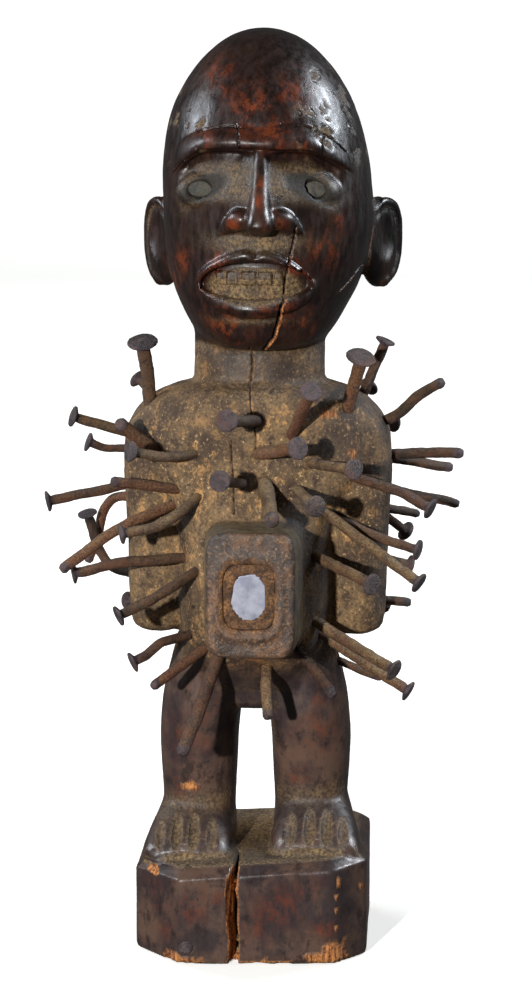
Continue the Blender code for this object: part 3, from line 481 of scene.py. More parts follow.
def face_y(x, z):
    """The front surface of the skull at points of the face."""
    half, front, _ = (np.sqrt(size(z)) for size in SKULL_FORM.sizes)
    across = np.minimum(np.abs(x - SKULL_FORM.middle(z)) / half, 0.99)
    return -front * (1 - across**2.15) ** (1 / 2.15)


def off_face(p):
    """How far points are behind the skull's front, at right angles to it."""
    x, y, z = p.T
    across = face_y(x + 0.5, z) - face_y(x - 0.5, z)
    up = face_y(x, z + 0.5) - face_y(x, z - 0.5)
    return (y - face_y(x, z)) / np.sqrt(1 + across**2 + up**2)


def upright(form, side=1, shift=0.0):
    """An upright form, or its mirror image on the other side."""
    return lambda p: form.distance(p[:, 2], side * (p[:, 0] - shift), p[:, 1])


def foot(side):
    lift = FOOT_LIFT[side]

    def shape(p):
        form = FOOT_FORM.distance(p[:, 1], side * p[:, 0], p[:, 2] - lift)
        return np.maximum(form, plinth_wall(p) + 2.5 - 0.5 * np.maximum(p[:, 2] - lift, 0))

    return shape


def box_form(p):
    return BOX_FORM.distance(p[:, 1], p[:, 0], p[:, 2] - BOX_Z)


def nose_ridge(p):
    return NOSE_FORM.distance(p[:, 2], p[:, 0] - NOSE_X, p[:, 1] - NOSE_Y(p[:, 2]))


def face_ends(x):
    """1 on the front of the face, fading out at its sides."""
    return 1 - soft_step(31, 38, np.abs(x - FACE_X))


def brow(p):
    """The band over the eyes, proudest along its sharp lower edge."""
    x, _, z = p.T
    low, high = BROW_LOW_Z(x), BROW_HIGH_Z(x)
    share = np.maximum((z - low) / (high - low), 0)
    present = soft_step(-1.4, 0.5, z - low) * (1 - soft_step(0.9, 1.5, share)) * face_ends(x)
    proud = BROW_PROUD * (1 - 0.75 * soft_step(20, 34, np.abs(x - FACE_X)))
    bulge = np.sin(math.pi * (0.25 + 0.75 * np.minimum(share, 1)))
    return -off_face(p) - present * (proud * bulge + 3.3) + 3.0


def eye_recess(p):
    """The hollow under the brow, deepest right under its edge and beside the nose."""
    x, _, z = p.T
    under = BROW_LOW_Z(x) - z
    deep = between(-0.5, 2.5, 7, 25, under)
    deep *= 1 - soft_step(21, 37, np.abs(x - FACE_X))
    deep *= 0.45 + 0.55 * soft_step(2, 10, np.abs(x - 4))
    return off_face(p) - deep * (RECESS_DEPTH + 3.0) + 3.0


def nose_slopes(p):
    """The sides of the nose, running down from its ridge to the cheeks."""
    x, _, z = p.T
    away = np.abs(x - NOSE_X) / NOSE_HALF(z)
    high = NOSE_HIGH(z)
    return -off_face(p) - high + np.maximum(high, 4.0) * away


def smooth_line(rows):
    """Rows of numbers with smooth ones put between them, as one array for each column."""
    places = np.arange(len(rows))
    fine = np.linspace(0, len(rows) - 1, 5 * len(rows))
    return [curve_through(places, column)(fine) for column in zip(*rows)]


def nose_wing(side):
    x, y, z, radii = smooth_line(WING)

    def shape(p):
        rim = NOSTRIL_Z - 0.22 * np.abs(p[:, 0] - NOSE_X) - p[:, 2]
        return np.maximum(tube(p, np.column_stack((NOSE_X + side * x, y, z)), radii), rim)

    return shape


def lips(p):
    x, z, radii = smooth_line(LIPS + LIPS[:1])
    flat = p * (1, LIP_FLATTENING, 1)
    return tube(flat, np.column_stack((x, (face_y(x, z) + 0.3) * LIP_FLATTENING, z)), radii)


def mouth_hollow(p):
    x = p[:, 0] - MOUTH_MIDDLE[0]
    z = p[:, 2] - MOUTH_MIDDLE[1]
    rise = np.where(z > 0, MOUTH_RISE, MOUTH_DROP)
    share = np.hypot(x / MOUTH_HALF_WIDTH, z / rise) + 1e-6
    edge = np.hypot(x, z) * (1 - 1 / share)
    return np.maximum(edge, p[:, 1] - face_y(p[:, 0], p[:, 2]) - MOUTH_DEPTH)


def teeth(p):
    nearest = np.full(len(p), FAR)
    middle_z = (TOOTH_LOW + TOOTH_HIGH) / 2
    for x, width in TEETH:
        y = face_y(np.array(x), np.array(middle_z)) + MOUTH_DEPTH + 2.0
        half = (width / 2, 2.8, (TOOTH_HIGH - TOOTH_LOW) / 2)
        nearest = np.minimum(nearest, block(p, (x, y, middle_z), half, 0.6))
    return nearest


def eye_oval(side, behind, radii):
    """An almond on the eye's slope, its middle behind the lid's front."""
    centre = (EYE_X + side * EYE_OFFSET, LID_FRONT + behind, EYE_Z)
    return lambda p: oval(p, centre, radii, turned("Y", side * EYE_SLOPE))


def ear_oval(side, out, forward, up, radii):
    """An oval turned as the ear is, its middle moved from the ear's."""
    centre = (EAR_X[side] + side * out, EAR_Y - forward, EAR_Z + up)
    return lambda p: oval(p, centre, radii, turned("Z", -side * EAR_TURN))


def ear_line(side, rows):
    """A ridge on the ear: rows of out, back, up and radius, from the ear's middle."""
    out, back, up, radii = smooth_line(rows)
    turn = turned("Z", -side * EAR_TURN)
    points = np.column_stack((side * out, back, up)) @ turn.T + (EAR_X[side], EAR_Y, EAR_Z)
    return lambda p: tube(p, points, radii)


def forearm(side):
    points = [(side * x, y, z) for x, y, z, _ in FOREARM]
    return lambda p: tube(p, points, [row[3] for row in FOREARM])


def hand(side):
    return lambda p: oval(p, (side * 8.5, 27.5, 101), (8.5, 5.0, 6.5))


def toe_gap(side, offset):
    centre = (side * (TOE_X + offset), TOE_GAP_Y, TOE_GAP_Z + FOOT_LIFT[side])
    return lambda p: oval(p, centre, TOE_GAP_RADII, turned("X", TOE_GAP_SLOPE))


def plinth_top(x):
    return PLINTH_TOP_RISE * (x / PLINTH_WIDTH + 0.5)


def plinth_wall(p):
    """Distance to the plinth's upright faces, as if they had no end."""
    x, y = p[:, 0], p[:, 1]
    wall = np.full(len(p), -1e3)
    for (ax, ay), (bx, by) in zip(PLINTH_CORNERS, PLINTH_CORNERS[1:] + PLINTH_CORNERS[:1]):
        length = math.hypot(bx - ax, by - ay)
        plane = ((x - ax) * (by - ay) - (y - ay) * (bx - ax)) / length
        wall = -join(-wall, -plane, 1.6)
    return wall


def plinth(p):
    """A block with cut corners and a sloping top with a bevelled edge."""
    x, _, z = p.T
    wall = plinth_wall(p)
    above = z - plinth_top(x)
    bevel = PLINTH_TOP_BEVEL * wall + PLINTH_TOP_INSET * (above + PLINTH_TOP_BEVEL)
    bevel /= math.hypot(PLINTH_TOP_BEVEL, PLINTH_TOP_INSET)
    body = -join(-wall, z - PLINTH_LOW, 2.0)
    return -join(-np.maximum(body, bevel), -above, 1.5)


def plinth_split(p):
    """The split in the plinth's front: a torn, slanting left wall and a dark slit at its right."""
    y = p[:, 1]
    z = p[:, 2]
    places, left, right = zip(*SPLIT_WALLS)
    bend = 0.35 * np.sin(z / 7.0) + 0.2 * np.sin(z / 2.3 + 1)
    torn = 0.3 * rough_noise(p * (1, 1, 0.3), 2.2, 51, 2) * (y < -35)
    low = np.interp(y, places, left) + bend + torn
    high = np.interp(y, places, right) + bend
    back = places[-1] - 20 * soft_step(-24, -36, z)
    return np.maximum(np.maximum(low - p[:, 0], p[:, 0] - high), y - back)


def pocket(p):
    x = np.abs(p[:, 0] - POCKET_X) / (POCKET_HALF[0] + 0.05)
    z = np.abs(p[:, 2] - POCKET_Z) / (POCKET_HALF[1] + 0.05)
    share = (x**4.5 + z**4.5) ** (1 / 4.5) + 1e-6
    edge = np.hypot(p[:, 0] - POCKET_X, p[:, 2] - POCKET_Z) * (1 - 1 / share)
    return np.maximum(edge, p[:, 1] - POCKET_FLOOR)


def space(low_x, high_x, low_y, high_y, low_z, high_z):
    """Two corners of a space."""
    return np.array((low_x, low_y, low_z)), np.array((high_x, high_y, high_z))


def features():
    """Each form in carving order: how it is worked in, its fillet, the space it reaches, its shape."""
    rows = [
        (join, 2.0, space(-60, 62, -50, 38, 56, 195), upright(TRUNK_FORM)),
        (join, 3.0, space(-38, 42, -30, 36, 160, 218), upright(NECK_FORM)),
        (join, 2.0, space(-48, 57, -52, 60, 185, 326), upright(SKULL_FORM)),
        (join, 4.0, space(-38, 38, -34, 34, 45, 95), upright(PELVIS_FORM)),
        (join, 1.2, space(-58, 58, -56, 52, -48, 18), plinth),
        (join, 1.2, space(-30, 34, -70, -18, 75, 144), box_form),
    ]
    for side in (-1, 1):
        across = sorted((side * 4, side * 62))
        rows += [
            (join, 1.6, space(*across, -30, 32, 75, 186), upright(ARM_FORM, side, ARM_SHIFT)),
            (join, 3.0, space(*across, -32, 34, -6, 95), upright(LEG_FORM, side)),
            (join, 2.2, space(*sorted((side * 1, side * 55)), -44, 34, -6, 40), foot(side)),
            (join, 2.0, space(*across, 0, 44, 80, 114), forearm(side)),
            (join, 1.5, space(*sorted((side * -4, side * 26)), 14, 44, 86, 116), hand(side)),
        ]
    face = space(-46, 52, -56, -12, 225, 290)
    nose = space(-16, 25, -60, -20, 234, 282)
    mouth = space(-30, 34, -60, -15, 200, 245)
    rows += [(carve, 1.5, face, eye_recess), (join, 0.6, face, brow), (join, 2.0, nose, nose_slopes)]
    for side in (-1, 1):
        eye = space(*sorted((EYE_X + side * 1, EYE_X + side * 44)), -60, -12, 236, 282)
        beside = space(*sorted((side * 28, side * 64)), -10, 44, 208, 262)
        rows += [
            (join, 1.6, eye, eye_oval(side, 5, (9.4, 6.0, 6.2))),
            (carve, 0.5, eye, eye_oval(side, 0, (4.6, 2.2, 3.6))),
            (join, 2.0, beside, ear_oval(side, 0, 0, 0, (6.0, 11.5, 17.2))),
            (carve, 1.0, beside, ear_oval(side, 4.6, 6.5, 2.5, (3.6, 8.0, 11.0))),
            (join, 0.8, beside, ear_line(side, EAR_RIM)),
            (join, 0.8, beside, ear_line(side, EAR_FOLD)),
            (join, 0.9, nose, nose_wing(side)),
        ]
    rows += [
        (join, 1.6, nose, nose_ridge),
        (join, 0.7, mouth, lips),
        (carve, 0.6, mouth, mouth_hollow),
        (join, 0.3, mouth, teeth),
        (carve, 0.3, space(-14, 17, -70, -48, 90, 130), pocket),
        (carve, 0.2, space(-13, 0, -50, -10, -42, 10), plinth_split),
    ]
    for side in (-1, 1):
        for offset in TOE_GAPS:
            x = side * (TOE_X + offset)
            rows.append((carve, 0.6, space(x - 7, x + 7, -42, -5, -2, 32), toe_gap(side, offset)))
    return rows


FEATURES = features()


def figure_field(p):
    """Signed distance to the carved figure, near its surface."""
    field = np.full(len(p), FAR)
    for work, blend, (low, high), shape in FEATURES:
        at = np.flatnonzero(((p > low) & (p < high)).all(axis=1))
        if len(at):
            field[at] = work(field[at], shape(p[at]), blend)
    return field


def outward(p, step=0.25):
    """The field's direction at points near the surface, and the field there."""
    here = figure_field(p)
    slope = np.empty_like(p)
    for axis in range(3):
        shifted = p.copy()
        shifted[:, axis] += step
        slope[:, axis] = (figure_field(shifted) - here) / step
    length = np.linalg.norm(slope, axis=1)[:, None] + 1e-9
    return slope / length, here / length[:, 0]


# From the field to a mesh

def grid_field(low, high, step):
    """The field on a grid, in slabs, so that memory stays small."""
    x, y, z = (np.arange(a, b + step, step) for a, b in zip(low, high))
    slabs = []
    for heights in np.split(z, range(12, len(z), 12)):
        p = np.stack(np.meshgrid(x, y, heights, indexing="ij"), axis=-1)
        slabs.append(figure_field(p.reshape(-1, 3)).reshape(p.shape[:3]))
    return np.concatenate(slabs, axis=2)


def surface_mesh(field, low, step):
    """Points and quads of the surface where the field changes sign, one point to a cell."""
    cells = np.array(field.shape) - 1
    total = np.zeros((cells.prod(), 3))
    count = np.zeros(cells.prod())
    quads = []
    for axis in range(3):
        u, v = (axis + 1) % 3, (axis + 2) % 3
        near = np.take(field, range(field.shape[axis] - 1), axis)
        far = np.take(field, range(1, field.shape[axis]), axis)
        at = np.argwhere((near < 0) != (far < 0))
        at = at[((at[:, [u, v]] > 0) & (at[:, [u, v]] < cells[[u, v]])).all(axis=1)]
        a, b = near[tuple(at.T)], far[tuple(at.T)]
        crossing = at.astype(float)
        crossing[:, axis] += a / (a - b)
        corners = []
        for du, dv in ((0, 0), (-1, 0), (-1, -1), (0, -1)):
            cell = at.copy()
            cell[:, u] += du
            cell[:, v] += dv
            flat = np.ravel_multi_index(cell.T, cells)
            np.add.at(total, flat, crossing)
            np.add.at(count, flat, 1)
            corners.append(flat)
        quad = np.column_stack(corners)
        quad[a >= 0] = quad[a >= 0][:, ::-1]
        quads.append(quad)
    quads = np.concatenate(quads)
    used = np.flatnonzero(count)
    number = np.full(len(count), -1)
    number[used] = np.arange(len(used))
    points = low + total[used] / count[used][:, None] * step
    return points, number[quads]


def detail_level(p):
    """How many times the mesh is halved near a point: more on the face, the toes, the box, the splits."""
    x, y, z = p.T
    level = np.zeros(len(p))
    face = (z > 203) & (z < 284) & (y < FACE_BACK)
    ears = (np.abs(x - 5) > 33) & (z > 213) & (z < 255) & (y < 28)
    box = (y < -52) & (z > 80)
    toes = (z > 0.5) & (z < 24) & (y < -9)
    edges = (z > -5) & (z < 6) & (y < -25)
    level[face | ears | box | toes | edges] = 1
    fine = (np.abs(x - 3) < 16) & (z > 218) & (z < 230) & (y < -25)
    under_brow = np.abs(z - BROW_LOW_Z(x)) < 2.2
    level[fine | (under_brow & face)] = 2
    for back, half, _, _, points in SPLITS:
        gap = path_distance(x, z, points)
        level[(gap < 1.5 + half) & (y < back)] = 2
    level[(np.abs(x + 6.0) < 4.5) & (y < -30) & (z < 3)] = 1
    return level


def refined(points, quads):
    """The mesh with its faces halved where detail_level asks for it."""
    bm = bmesh.new()
    verts = [bm.verts.new(point) for point in points]
    for quad in quads:
        bm.faces.new([verts[i] for i in quad])
    for wanted in (1, 2):
        bm.faces.ensure_lookup_table()
        centres = np.array([face.calc_center_median() for face in bm.faces])
        chosen = np.flatnonzero(detail_level(centres) >= wanted)
        edges = {edge for i in chosen for edge in bm.faces[i].edges}
        bmesh.ops.subdivide_edges(bm, edges=list(edges), cuts=1, use_grid_fill=True)
        rounded = [vert for vert in bm.verts if vert.co.z > 200 and vert.co.y < FACE_BACK]
        axes = {"use_axis_x": True, "use_axis_y": True, "use_axis_z": True}
        bmesh.ops.smooth_vert(bm, verts=rounded, factor=0.5, **axes)
    bmesh.ops.triangulate(bm, faces=bm.faces)
    bm.verts.index_update()
    points = np.array([vert.co for vert in bm.verts])
    faces = np.array([[vert.index for vert in face.verts] for face in bm.faces])
    bm.free()
    return points, faces


def on_surface(points):
    """Moves points onto the field's surface."""
    for _ in range(3):
        normal, gap = outward(points)
        points = points - normal * np.clip(gap, -1.2, 1.2)[:, None]
    return points


# Marks on the surface

def nail_line(row):
    """The points of a nail's line, its buried end first."""
    points = [Vector(point) for point in row[3:]]
    inwards = (points[0] - points[1]).normalized()
    return [points[0] + inwards * NAIL_DRIVEN_DEPTH, *points]


def nail_closeness(points, near, far):
    """1 where a nail goes into the wood, out to a near distance, fading to 0 at a far one."""
    close = np.zeros(len(points))
    for row in NAILS:
        buried, entry = nail_line(row)[:2]
        gap = tube(points, (buried, entry, entry + (entry - buried) * 0.3), (0, 0, 0))
        close = np.maximum(close, 1 - soft_step(near, far, gap / row[2]))
    return close


def body_zone(points):
    """1 on the dusty, crusted body and 0 on the polished wood, with a ragged border."""
    x, y, z = points.T
    ragged = 5 * rough_noise(points, 14, 31)
    body = soft_step(64, 82, z + ragged + 0.25 * y) * (1 - soft_step(196.5, 199.5, z + 0.1 * ragged))
    throat = np.exp(-((x / 17) ** 4)) * soft_step(176, 182, z + 0.4 * ragged) * (y < 0)
    return np.clip(body - 0.6 * throat, 0, 1)


def plinth_dust(points):
    """1 on the flat top of the plinth, 0 on its bevel and sides."""
    x, _, z = points.T
    above = z - plinth_top(x)
    return between(-1.2, -0.2, 0.6, 3.5, above) * (1 - soft_step(-5.2, -3.6, plinth_wall(points)))


def face_dirt(points):
    """Khaki dirt in the hollows of the face."""
    x, y, z = points.T
    under = BROW_LOW_Z(x) - z
    sockets = between(3, 8, 13, 22, under) * (1 - soft_step(24, 32, np.abs(x - 3)))
    ridge = hill(3.2, x - NOSE_X)
    lip = np.exp(-(((x - 3) / 15) ** 2) - ((z - 237) / 3.2) ** 2)
    mouth = 1 - soft_step(0.85, 1.05, np.hypot((x - 1.9) / 18, (z - 221.2) / 7.2))
    chin = 0.5 * np.exp(-(((x - 1) / 14) ** 2) - ((z - 208.6) / 1.3) ** 2)
    ragged = 0.75 + 0.35 * rough_noise(points, 5, 23)
    front = np.maximum.reduce([0.9 * sockets * (1 - ridge), 1.1 * lip, 1.2 * mouth, chin])
    tooth = 1 - soft_step(0.0, 0.5, np.abs(teeth(points)))
    return np.clip(front * ragged, 0, 1) * (y < -18) * (1 - 0.6 * tooth * (z > 224))


def eye_smudge(points):
    """The dark, smooth almond round each eye's glass."""
    x, y, z = points.T
    dark = np.zeros(len(points))
    for side in (-1, 1):
        out = side * (x - EYE_X) - EYE_OFFSET + 1.4
        up = z - EYE_Z - 0.6 + out * 0.32
        dark = np.maximum(dark, np.exp(-np.hypot(out / 10.0, up / 5.2) ** 4))
    return dark * (y < -18)


def hollowness(points, normal, reach):
    """1 deep in a hollow of about the given size, 0 on open surface."""
    return np.clip(1 - figure_field(points + normal * reach) / reach, 0, 1)


def bare_wood_and_lit_split_edges(points):
    """Bare orange wood in breaks, at the split's torn walls and along the ear's crack; along the figure's
    splits it lies only on their right walls, as a painted highlight.
    """
    x, y, z = points.T
    bare_and_lit_wood = np.zeros(len(points))
    for back, half, _, share, path in SPLITS:
        # Shifted onto each split's right wall, which faces the key light: bare wood as a painted highlight.
        gap = path_distance(x - half * 1.1, z, path)
        bare_and_lit_wood = np.maximum(bare_and_lit_wood, share * (1 - soft_step(half * 0.45, half * 0.9, gap)) * (y < back))
    ragged = rough_noise(points * (1, 1, 0.7), 3.0, 12)
    for spot_x, spot_z, wide, tall, back in FRESH_SPOTS:
        share = np.hypot((x - spot_x) / wide, (z - spot_z) / tall) + 0.8 * ragged
        bare_and_lit_wood = np.maximum(bare_and_lit_wood, (1 - soft_step(0.75, 1.05, share)) * (y < back))
    bare_and_lit_wood = np.maximum(bare_and_lit_wood, (plinth_split(points) < 0.3) * (y < -34.5) * (z < 6))
    ear_gap = path_distance(x, z, EAR_SPLIT)
    ear_gap = np.hypot(ear_gap, np.maximum(np.abs(y - 4.5) - 1.5, 0))
    ear = (1 - soft_step(0.2, 0.9, ear_gap + 0.5 * rough_noise(points, 3, 5))) * (x > 30)
    return np.maximum(bare_and_lit_wood, ear)


def crack_and_hole_shade(points):
    """Painted shade: 1 in the middle of a split and in the small holes, where the gap lies in shadow."""
    x, y, z = points.T
    dark = np.zeros(len(points))
    for back, half, _, _, path in SPLITS:
        gap = path_distance(x, z, path)
        dark = np.maximum(dark, (1 - soft_step(half * 0.6, half * 1.1, gap)) * (y < back))
    for hole_x, hole_z, radius in SMALL_HOLES:
        gap = np.hypot(x - hole_x, z - hole_z)
        dark = np.maximum(dark, (1 - soft_step(radius * 0.6, radius * 1.3, gap)) * (y < -15))
    return dark


def worn_red(points):
    x, y, z = points.T
    worn = np.zeros(len(points))
    for spot_x, spot_z, size in WORN_SPOTS:
        worn = np.maximum(worn, np.exp(-(((x - spot_x) ** 2 + (z - spot_z) ** 2) / size**2)) * (y < -4))
    behind = 0.5 * soft_step(0.1, 0.5, rough_noise(points, 26, 41)) * (y > -4)
    return np.maximum(worn * (0.6 + 0.4 * soft_step(90, 120, z)), behind)


def marks(points, normal):
    """Masks that the wood's material reads, each from 0 to 1 at every point."""
    x, y, z = points.T
    ears = (np.abs(x - 5) > 36) & (z > 212) & (z < 258)
    hollow = soft_step(0.08, 0.5, hollowness(points, normal, 1.6)) * ((z < 196) | ears)
    ankles = 0.5 * hill(4.5, z - 21 - 0.1 * x) * (y < -6)
    gaps = [toe_gap(side, offset)(points) for side in (-1, 1) for offset in TOE_GAPS]
    grooves = 0.75 - 0.75 * soft_step(0.0, 0.8, np.abs(gaps).min(axis=0))
    low = soft_step(0.15, 0.6, hollowness(points, normal, 5.0)) * (z < 90) * (z > 0)
    box_front = ((y < -56.3) & (z > 80) & (z < 140)).astype(float)
    ragged = 0.16 * rough_noise(points, 3, 77, 3)
    dirty = (hollow, ankles, low, grooves, face_dirt(points), plinth_dust(points), forehead_pits(points))
    return {
        "crust": body_zone(points),
        "dirt": np.maximum.reduce(dirty),
        "smudge": eye_smudge(points),
        "worn": worn_red(points),
        "aged": 1 - soft_step(60, 110, z),
        "edge": np.clip(1 + figure_field(points - normal * 1.6) / 1.6, 0, 1),
        "bare_and_lit_wood": bare_wood_and_lit_split_edges(points),
        "resin": box_front,
        "ring": box_front * (1 - soft_step(1.0, 1.22, pocket_share(x, z) + ragged)),
        # Painted shade: near black in the splits, the small holes and round each nail's entry.
        "shade_in_holes": np.maximum(crack_and_hole_shade(points), 0.9 * nail_closeness(points, 1.5, 3.2)),
        "specks": nail_closeness(points, 3.0, 12.0),
        "box": np.clip(1 - box_form(points) / 0.8, 0, 1) * (y < -36),
    }


def relief(points, masks):
    """How far each point stands out from the plain form: tool marks, crust, splits and chips."""
    x, y, z = points.T
    crust = masks["crust"] * (1 - 0.8 * masks["box"] * (1 - masks["resin"]))
    high = 0.25 * rough_noise(points * (1, 1, 0.45), 13, 3, 2) * (1 - crust)
    high += 0.07 * rough_noise(points, 2.4, 64, 2) * (1 - crust)
    high += crust * (0.30 * rough_noise(points, 7, 8) + 0.16 * rough_noise(points, 2.6, 9, 2))
    high += masks["resin"] * 0.16 * rough_noise(points, 2.0, 19, 2)
    high -= 0.6 * forehead_pits(points)
    for back, half, depth, _, path in SPLITS:
        gap = path_distance(x, z, path)
        wander = half * (1 + 0.5 * rough_noise(points, 2.4, 15, 2))
        high -= depth * (1 - soft_step(0.0, 1.0, gap / np.maximum(wander, 0.05))) * (y < back)
    high -= 0.6 * masks["bare_and_lit_wood"] * (z < 30) * (0.6 + 0.8 * rough_noise(points * (1, 1, 0.3), 3, 91, 3))
    high -= 0.8 * nail_closeness(points, 1.9, 3.0)
    lid = path_distance(x, z, LID_RIDGE)
    high += 0.7 * hill(0.6, lid) * (y < -18)
    return high + box_ridge(points)


def pocket_share(x, z):
    """1 along the pocket's outline, less inside it."""
    return (np.abs((x - POCKET_X) / 9.6) ** 4 + np.abs((z - POCKET_Z) / 12.3) ** 4) ** 0.25


def forehead_pits(points):
    """Ragged pits on both sides of the forehead."""
    x, y, z = points.T
    pits = soft_step(0.30, 0.42, rough_noise(points, 4.5, 27, 4)) * between(262, 272, 296, 304, z)
    return pits * soft_step(10, 22, np.abs(x - 3)) * (y < 5)


def box_ridge(points):
    """The swollen ring round the mirror and the raised rim of the box's face."""
    x, y, z = points.T
    share = pocket_share(x, z)
    ring = hill(0.12, share - 1.22) * (0.5 + 0.7 * soft_step(-5, 11, POCKET_Z - z))
    return ring * ((y < -55) & (z > 80) & (z < 140))


# Pieces

def new_object(name, data):
    made = bpy.data.objects.new(name, data)
    bpy.context.scene.collection.objects.link(made)
    return made


def mesh_piece(name, points, faces, material, node, attributes=None):
    """A smooth shaded piece in place of a CAD node, with values stored on its points."""
    mesh = bpy.data.meshes.new(name)
    place = np.asarray(points, float) * UNIT + (0, 0, PLINTH_HEIGHT)
    mesh.from_pydata(place.tolist(), [], [list(map(int, face)) for face in faces])
    mesh.shade_smooth()
    for key, values in (attributes or {}).items():
        layer = mesh.attributes.new(key, "FLOAT", "POINT")
        layer.data.foreach_set("value", np.asarray(values, np.float32))
    mesh.materials.append(material)
    piece = new_object(name, mesh)
    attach(piece, "root")
    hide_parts(node)


def ring_faces(count, sides):
    """Faces that join rings of points into a tube, with a cap at each end."""
    faces = []
    for start in range(0, (count - 1) * sides, sides):
        for i in range(sides):
            j = (i + 1) % sides
            faces.append((start + i, start + j, start + sides + j, start + sides + i))
    return [*faces, tuple(range(sides))[::-1], tuple(range((count - 1) * sides, count * sides))]


def carved_wood():
    field = grid_field(GRID_LOW, GRID_HIGH, GRID_STEP)
    points, faces = refined(*surface_mesh(field, GRID_LOW, GRID_STEP))
    points = on_surface(points)
    normal, _ = outward(points)
    masks = marks(points, normal)
    points = points + normal * relief(points, masks)[:, None]
    points[:, 2] = np.maximum(points[:, 2], PLINTH_LOW)
    mesh_piece("carved_figure", points, faces, wood_material(), "figure", masks)


# Nails

def frames_along(points):
    """Two directions across a path at each of its points, carried along without twisting."""
    tangents = np.gradient(points, axis=0)
    tangents /= np.linalg.norm(tangents, axis=1)[:, None]
    across = np.cross(tangents[0], (0.3, 0.5, 0.8))
    frames = []
    for tangent in tangents:
        across = across - tangent * (across @ tangent)
        across /= np.linalg.norm(across)
        frames.append((across, np.cross(tangent, across)))
    return frames


def nail_path(row, step=1.1):
    """A smooth line through the nail's points, a little crooked as old nails are."""
    rows = np.array([tuple(point) for point in nail_line(row)])
    lengths = np.concatenate(([0], np.cumsum(np.linalg.norm(np.diff(rows, axis=0), axis=1))))
    fine = np.linspace(0, lengths[-1], max(8, int(lengths[-1] / step)))
    path = np.column_stack([curve_through(lengths, column)(fine) for column in rows.T])
    seed = sum(map(ord, row[0]))
    free = soft_step(NAIL_DRIVEN_DEPTH, NAIL_DRIVEN_DEPTH + 12, fine)[:, None]
    wobble = np.column_stack([noise(path + axis * 37, 9, seed + axis) for axis in range(3)])
    end = soft_step(0, 5, lengths[-1] - fine)[:, None]
    return path + 0.35 * wobble * free * end, fine


def nail(row, iron):
    """One nail with a pitted, rusted shaft, and its head where it still has one."""
    name, style, thickness = row[:3]
    path, along = nail_path(row)
    radii = NAIL_RADIUS * thickness * (NAIL_TAPER + (1 - NAIL_TAPER) * soft_step(0, 14, along))
    seed = sum(map(ord, name)) % 97
    to_tip = along[-1] - along
    head_rings = []
    if style == "bare":
        radii = radii * (0.62 + 0.38 * soft_step(-0.2, 1.4, to_tip))
    else:
        direction = path[-1] - path[-2]
        direction /= np.linalg.norm(direction)
        head = NAIL_HEAD_RADIUS * HEAD_SPREAD[style] * (0.7 + 0.3 * thickness)
        for back, share in HEAD_RINGS:
            head_rings.append((path[-1] - direction * NAIL_HEAD_THICKNESS * back, head * share))
        keep = along < along[-1] - NAIL_HEAD_THICKNESS * (1.0 if style == "flush" else 2.4)
        path, radii = path[keep], radii[keep]
    rings = list(zip(path, radii)) + head_rings
    centres = np.array([centre for centre, _ in rings])
    angles = 2 * math.pi * np.arange(NAIL_SIDES)[:, None] / NAIL_SIDES
    points = []
    for (centre, radius), (right, up) in zip(rings, frames_along(centres)):
        points.append(centre + radius * (np.cos(angles) * right + np.sin(angles) * up))
    points = np.concatenate(points)
    centre_of = np.repeat(centres, NAIL_SIDES, axis=0)
    outwards = points - centre_of
    pitting = 1.02 + 0.14 * rough_noise(points, 3.2, seed, 3) + 0.06 * rough_noise(points, 1.1, seed + 5, 2)
    heads = np.repeat(np.arange(len(rings)) >= len(rings) - len(head_rings), NAIL_SIDES)
    uneven = 1 + 0.08 * noise(outwards + seed, 2.5, seed)
    points = centre_of + outwards * np.where(heads, uneven, np.minimum(pitting, 1.08))[:, None]
    outwards /= np.linalg.norm(outwards, axis=1)[:, None] + 1e-9
    dusty, orange = NAIL_TONES.get(name, (0.15 + 0.6 * (seed % 17) / 17, 0.3 * (seed % 5) / 5))
    attributes = {
        "head": heads * 1.0 if head_rings else soft_step(3.5, 2.5, np.repeat(to_tip, NAIL_SIDES)),
        "dusty": dusty * (0.45 + 0.55 * soft_step(-0.4, 0.8, outwards[:, 2])),
        "orange": np.full(len(points), orange),
    }
    faces = ring_faces(len(rings), NAIL_SIDES)
    mesh_piece("rusty_nail_" + name, points, faces, iron, "nail_" + name, attributes)


# Mirror, bedding and eyes

def plate_points(centre, half, power, front, back, crown, rings, sides):
    """An upright plate with a rounded outline, softened edges and a crowned face."""
    angles = 2 * math.pi * (np.arange(sides) + 0.5) / sides
    across, up = (
        size * np.sign(wave) * np.abs(wave) ** (2 / power)
        for size, wave in zip(half, (np.cos(angles), np.sin(angles)))
    )
    rows = [(1.0, back), (1.0, front + 0.12), (0.985, front + 0.02)]
    rows += [(share, front) for share in np.linspace(0.95, 0.06, rings)]
    points = []
    for share, y in rows:
        lift = crown * (1 - share**2) if y == front else 0.0
        depth = np.full(sides, y - lift)
        points.append(np.column_stack((centre[0] + across * share, depth, centre[1] + up * share)))
    return np.concatenate(points), ring_faces(len(rows), sides)


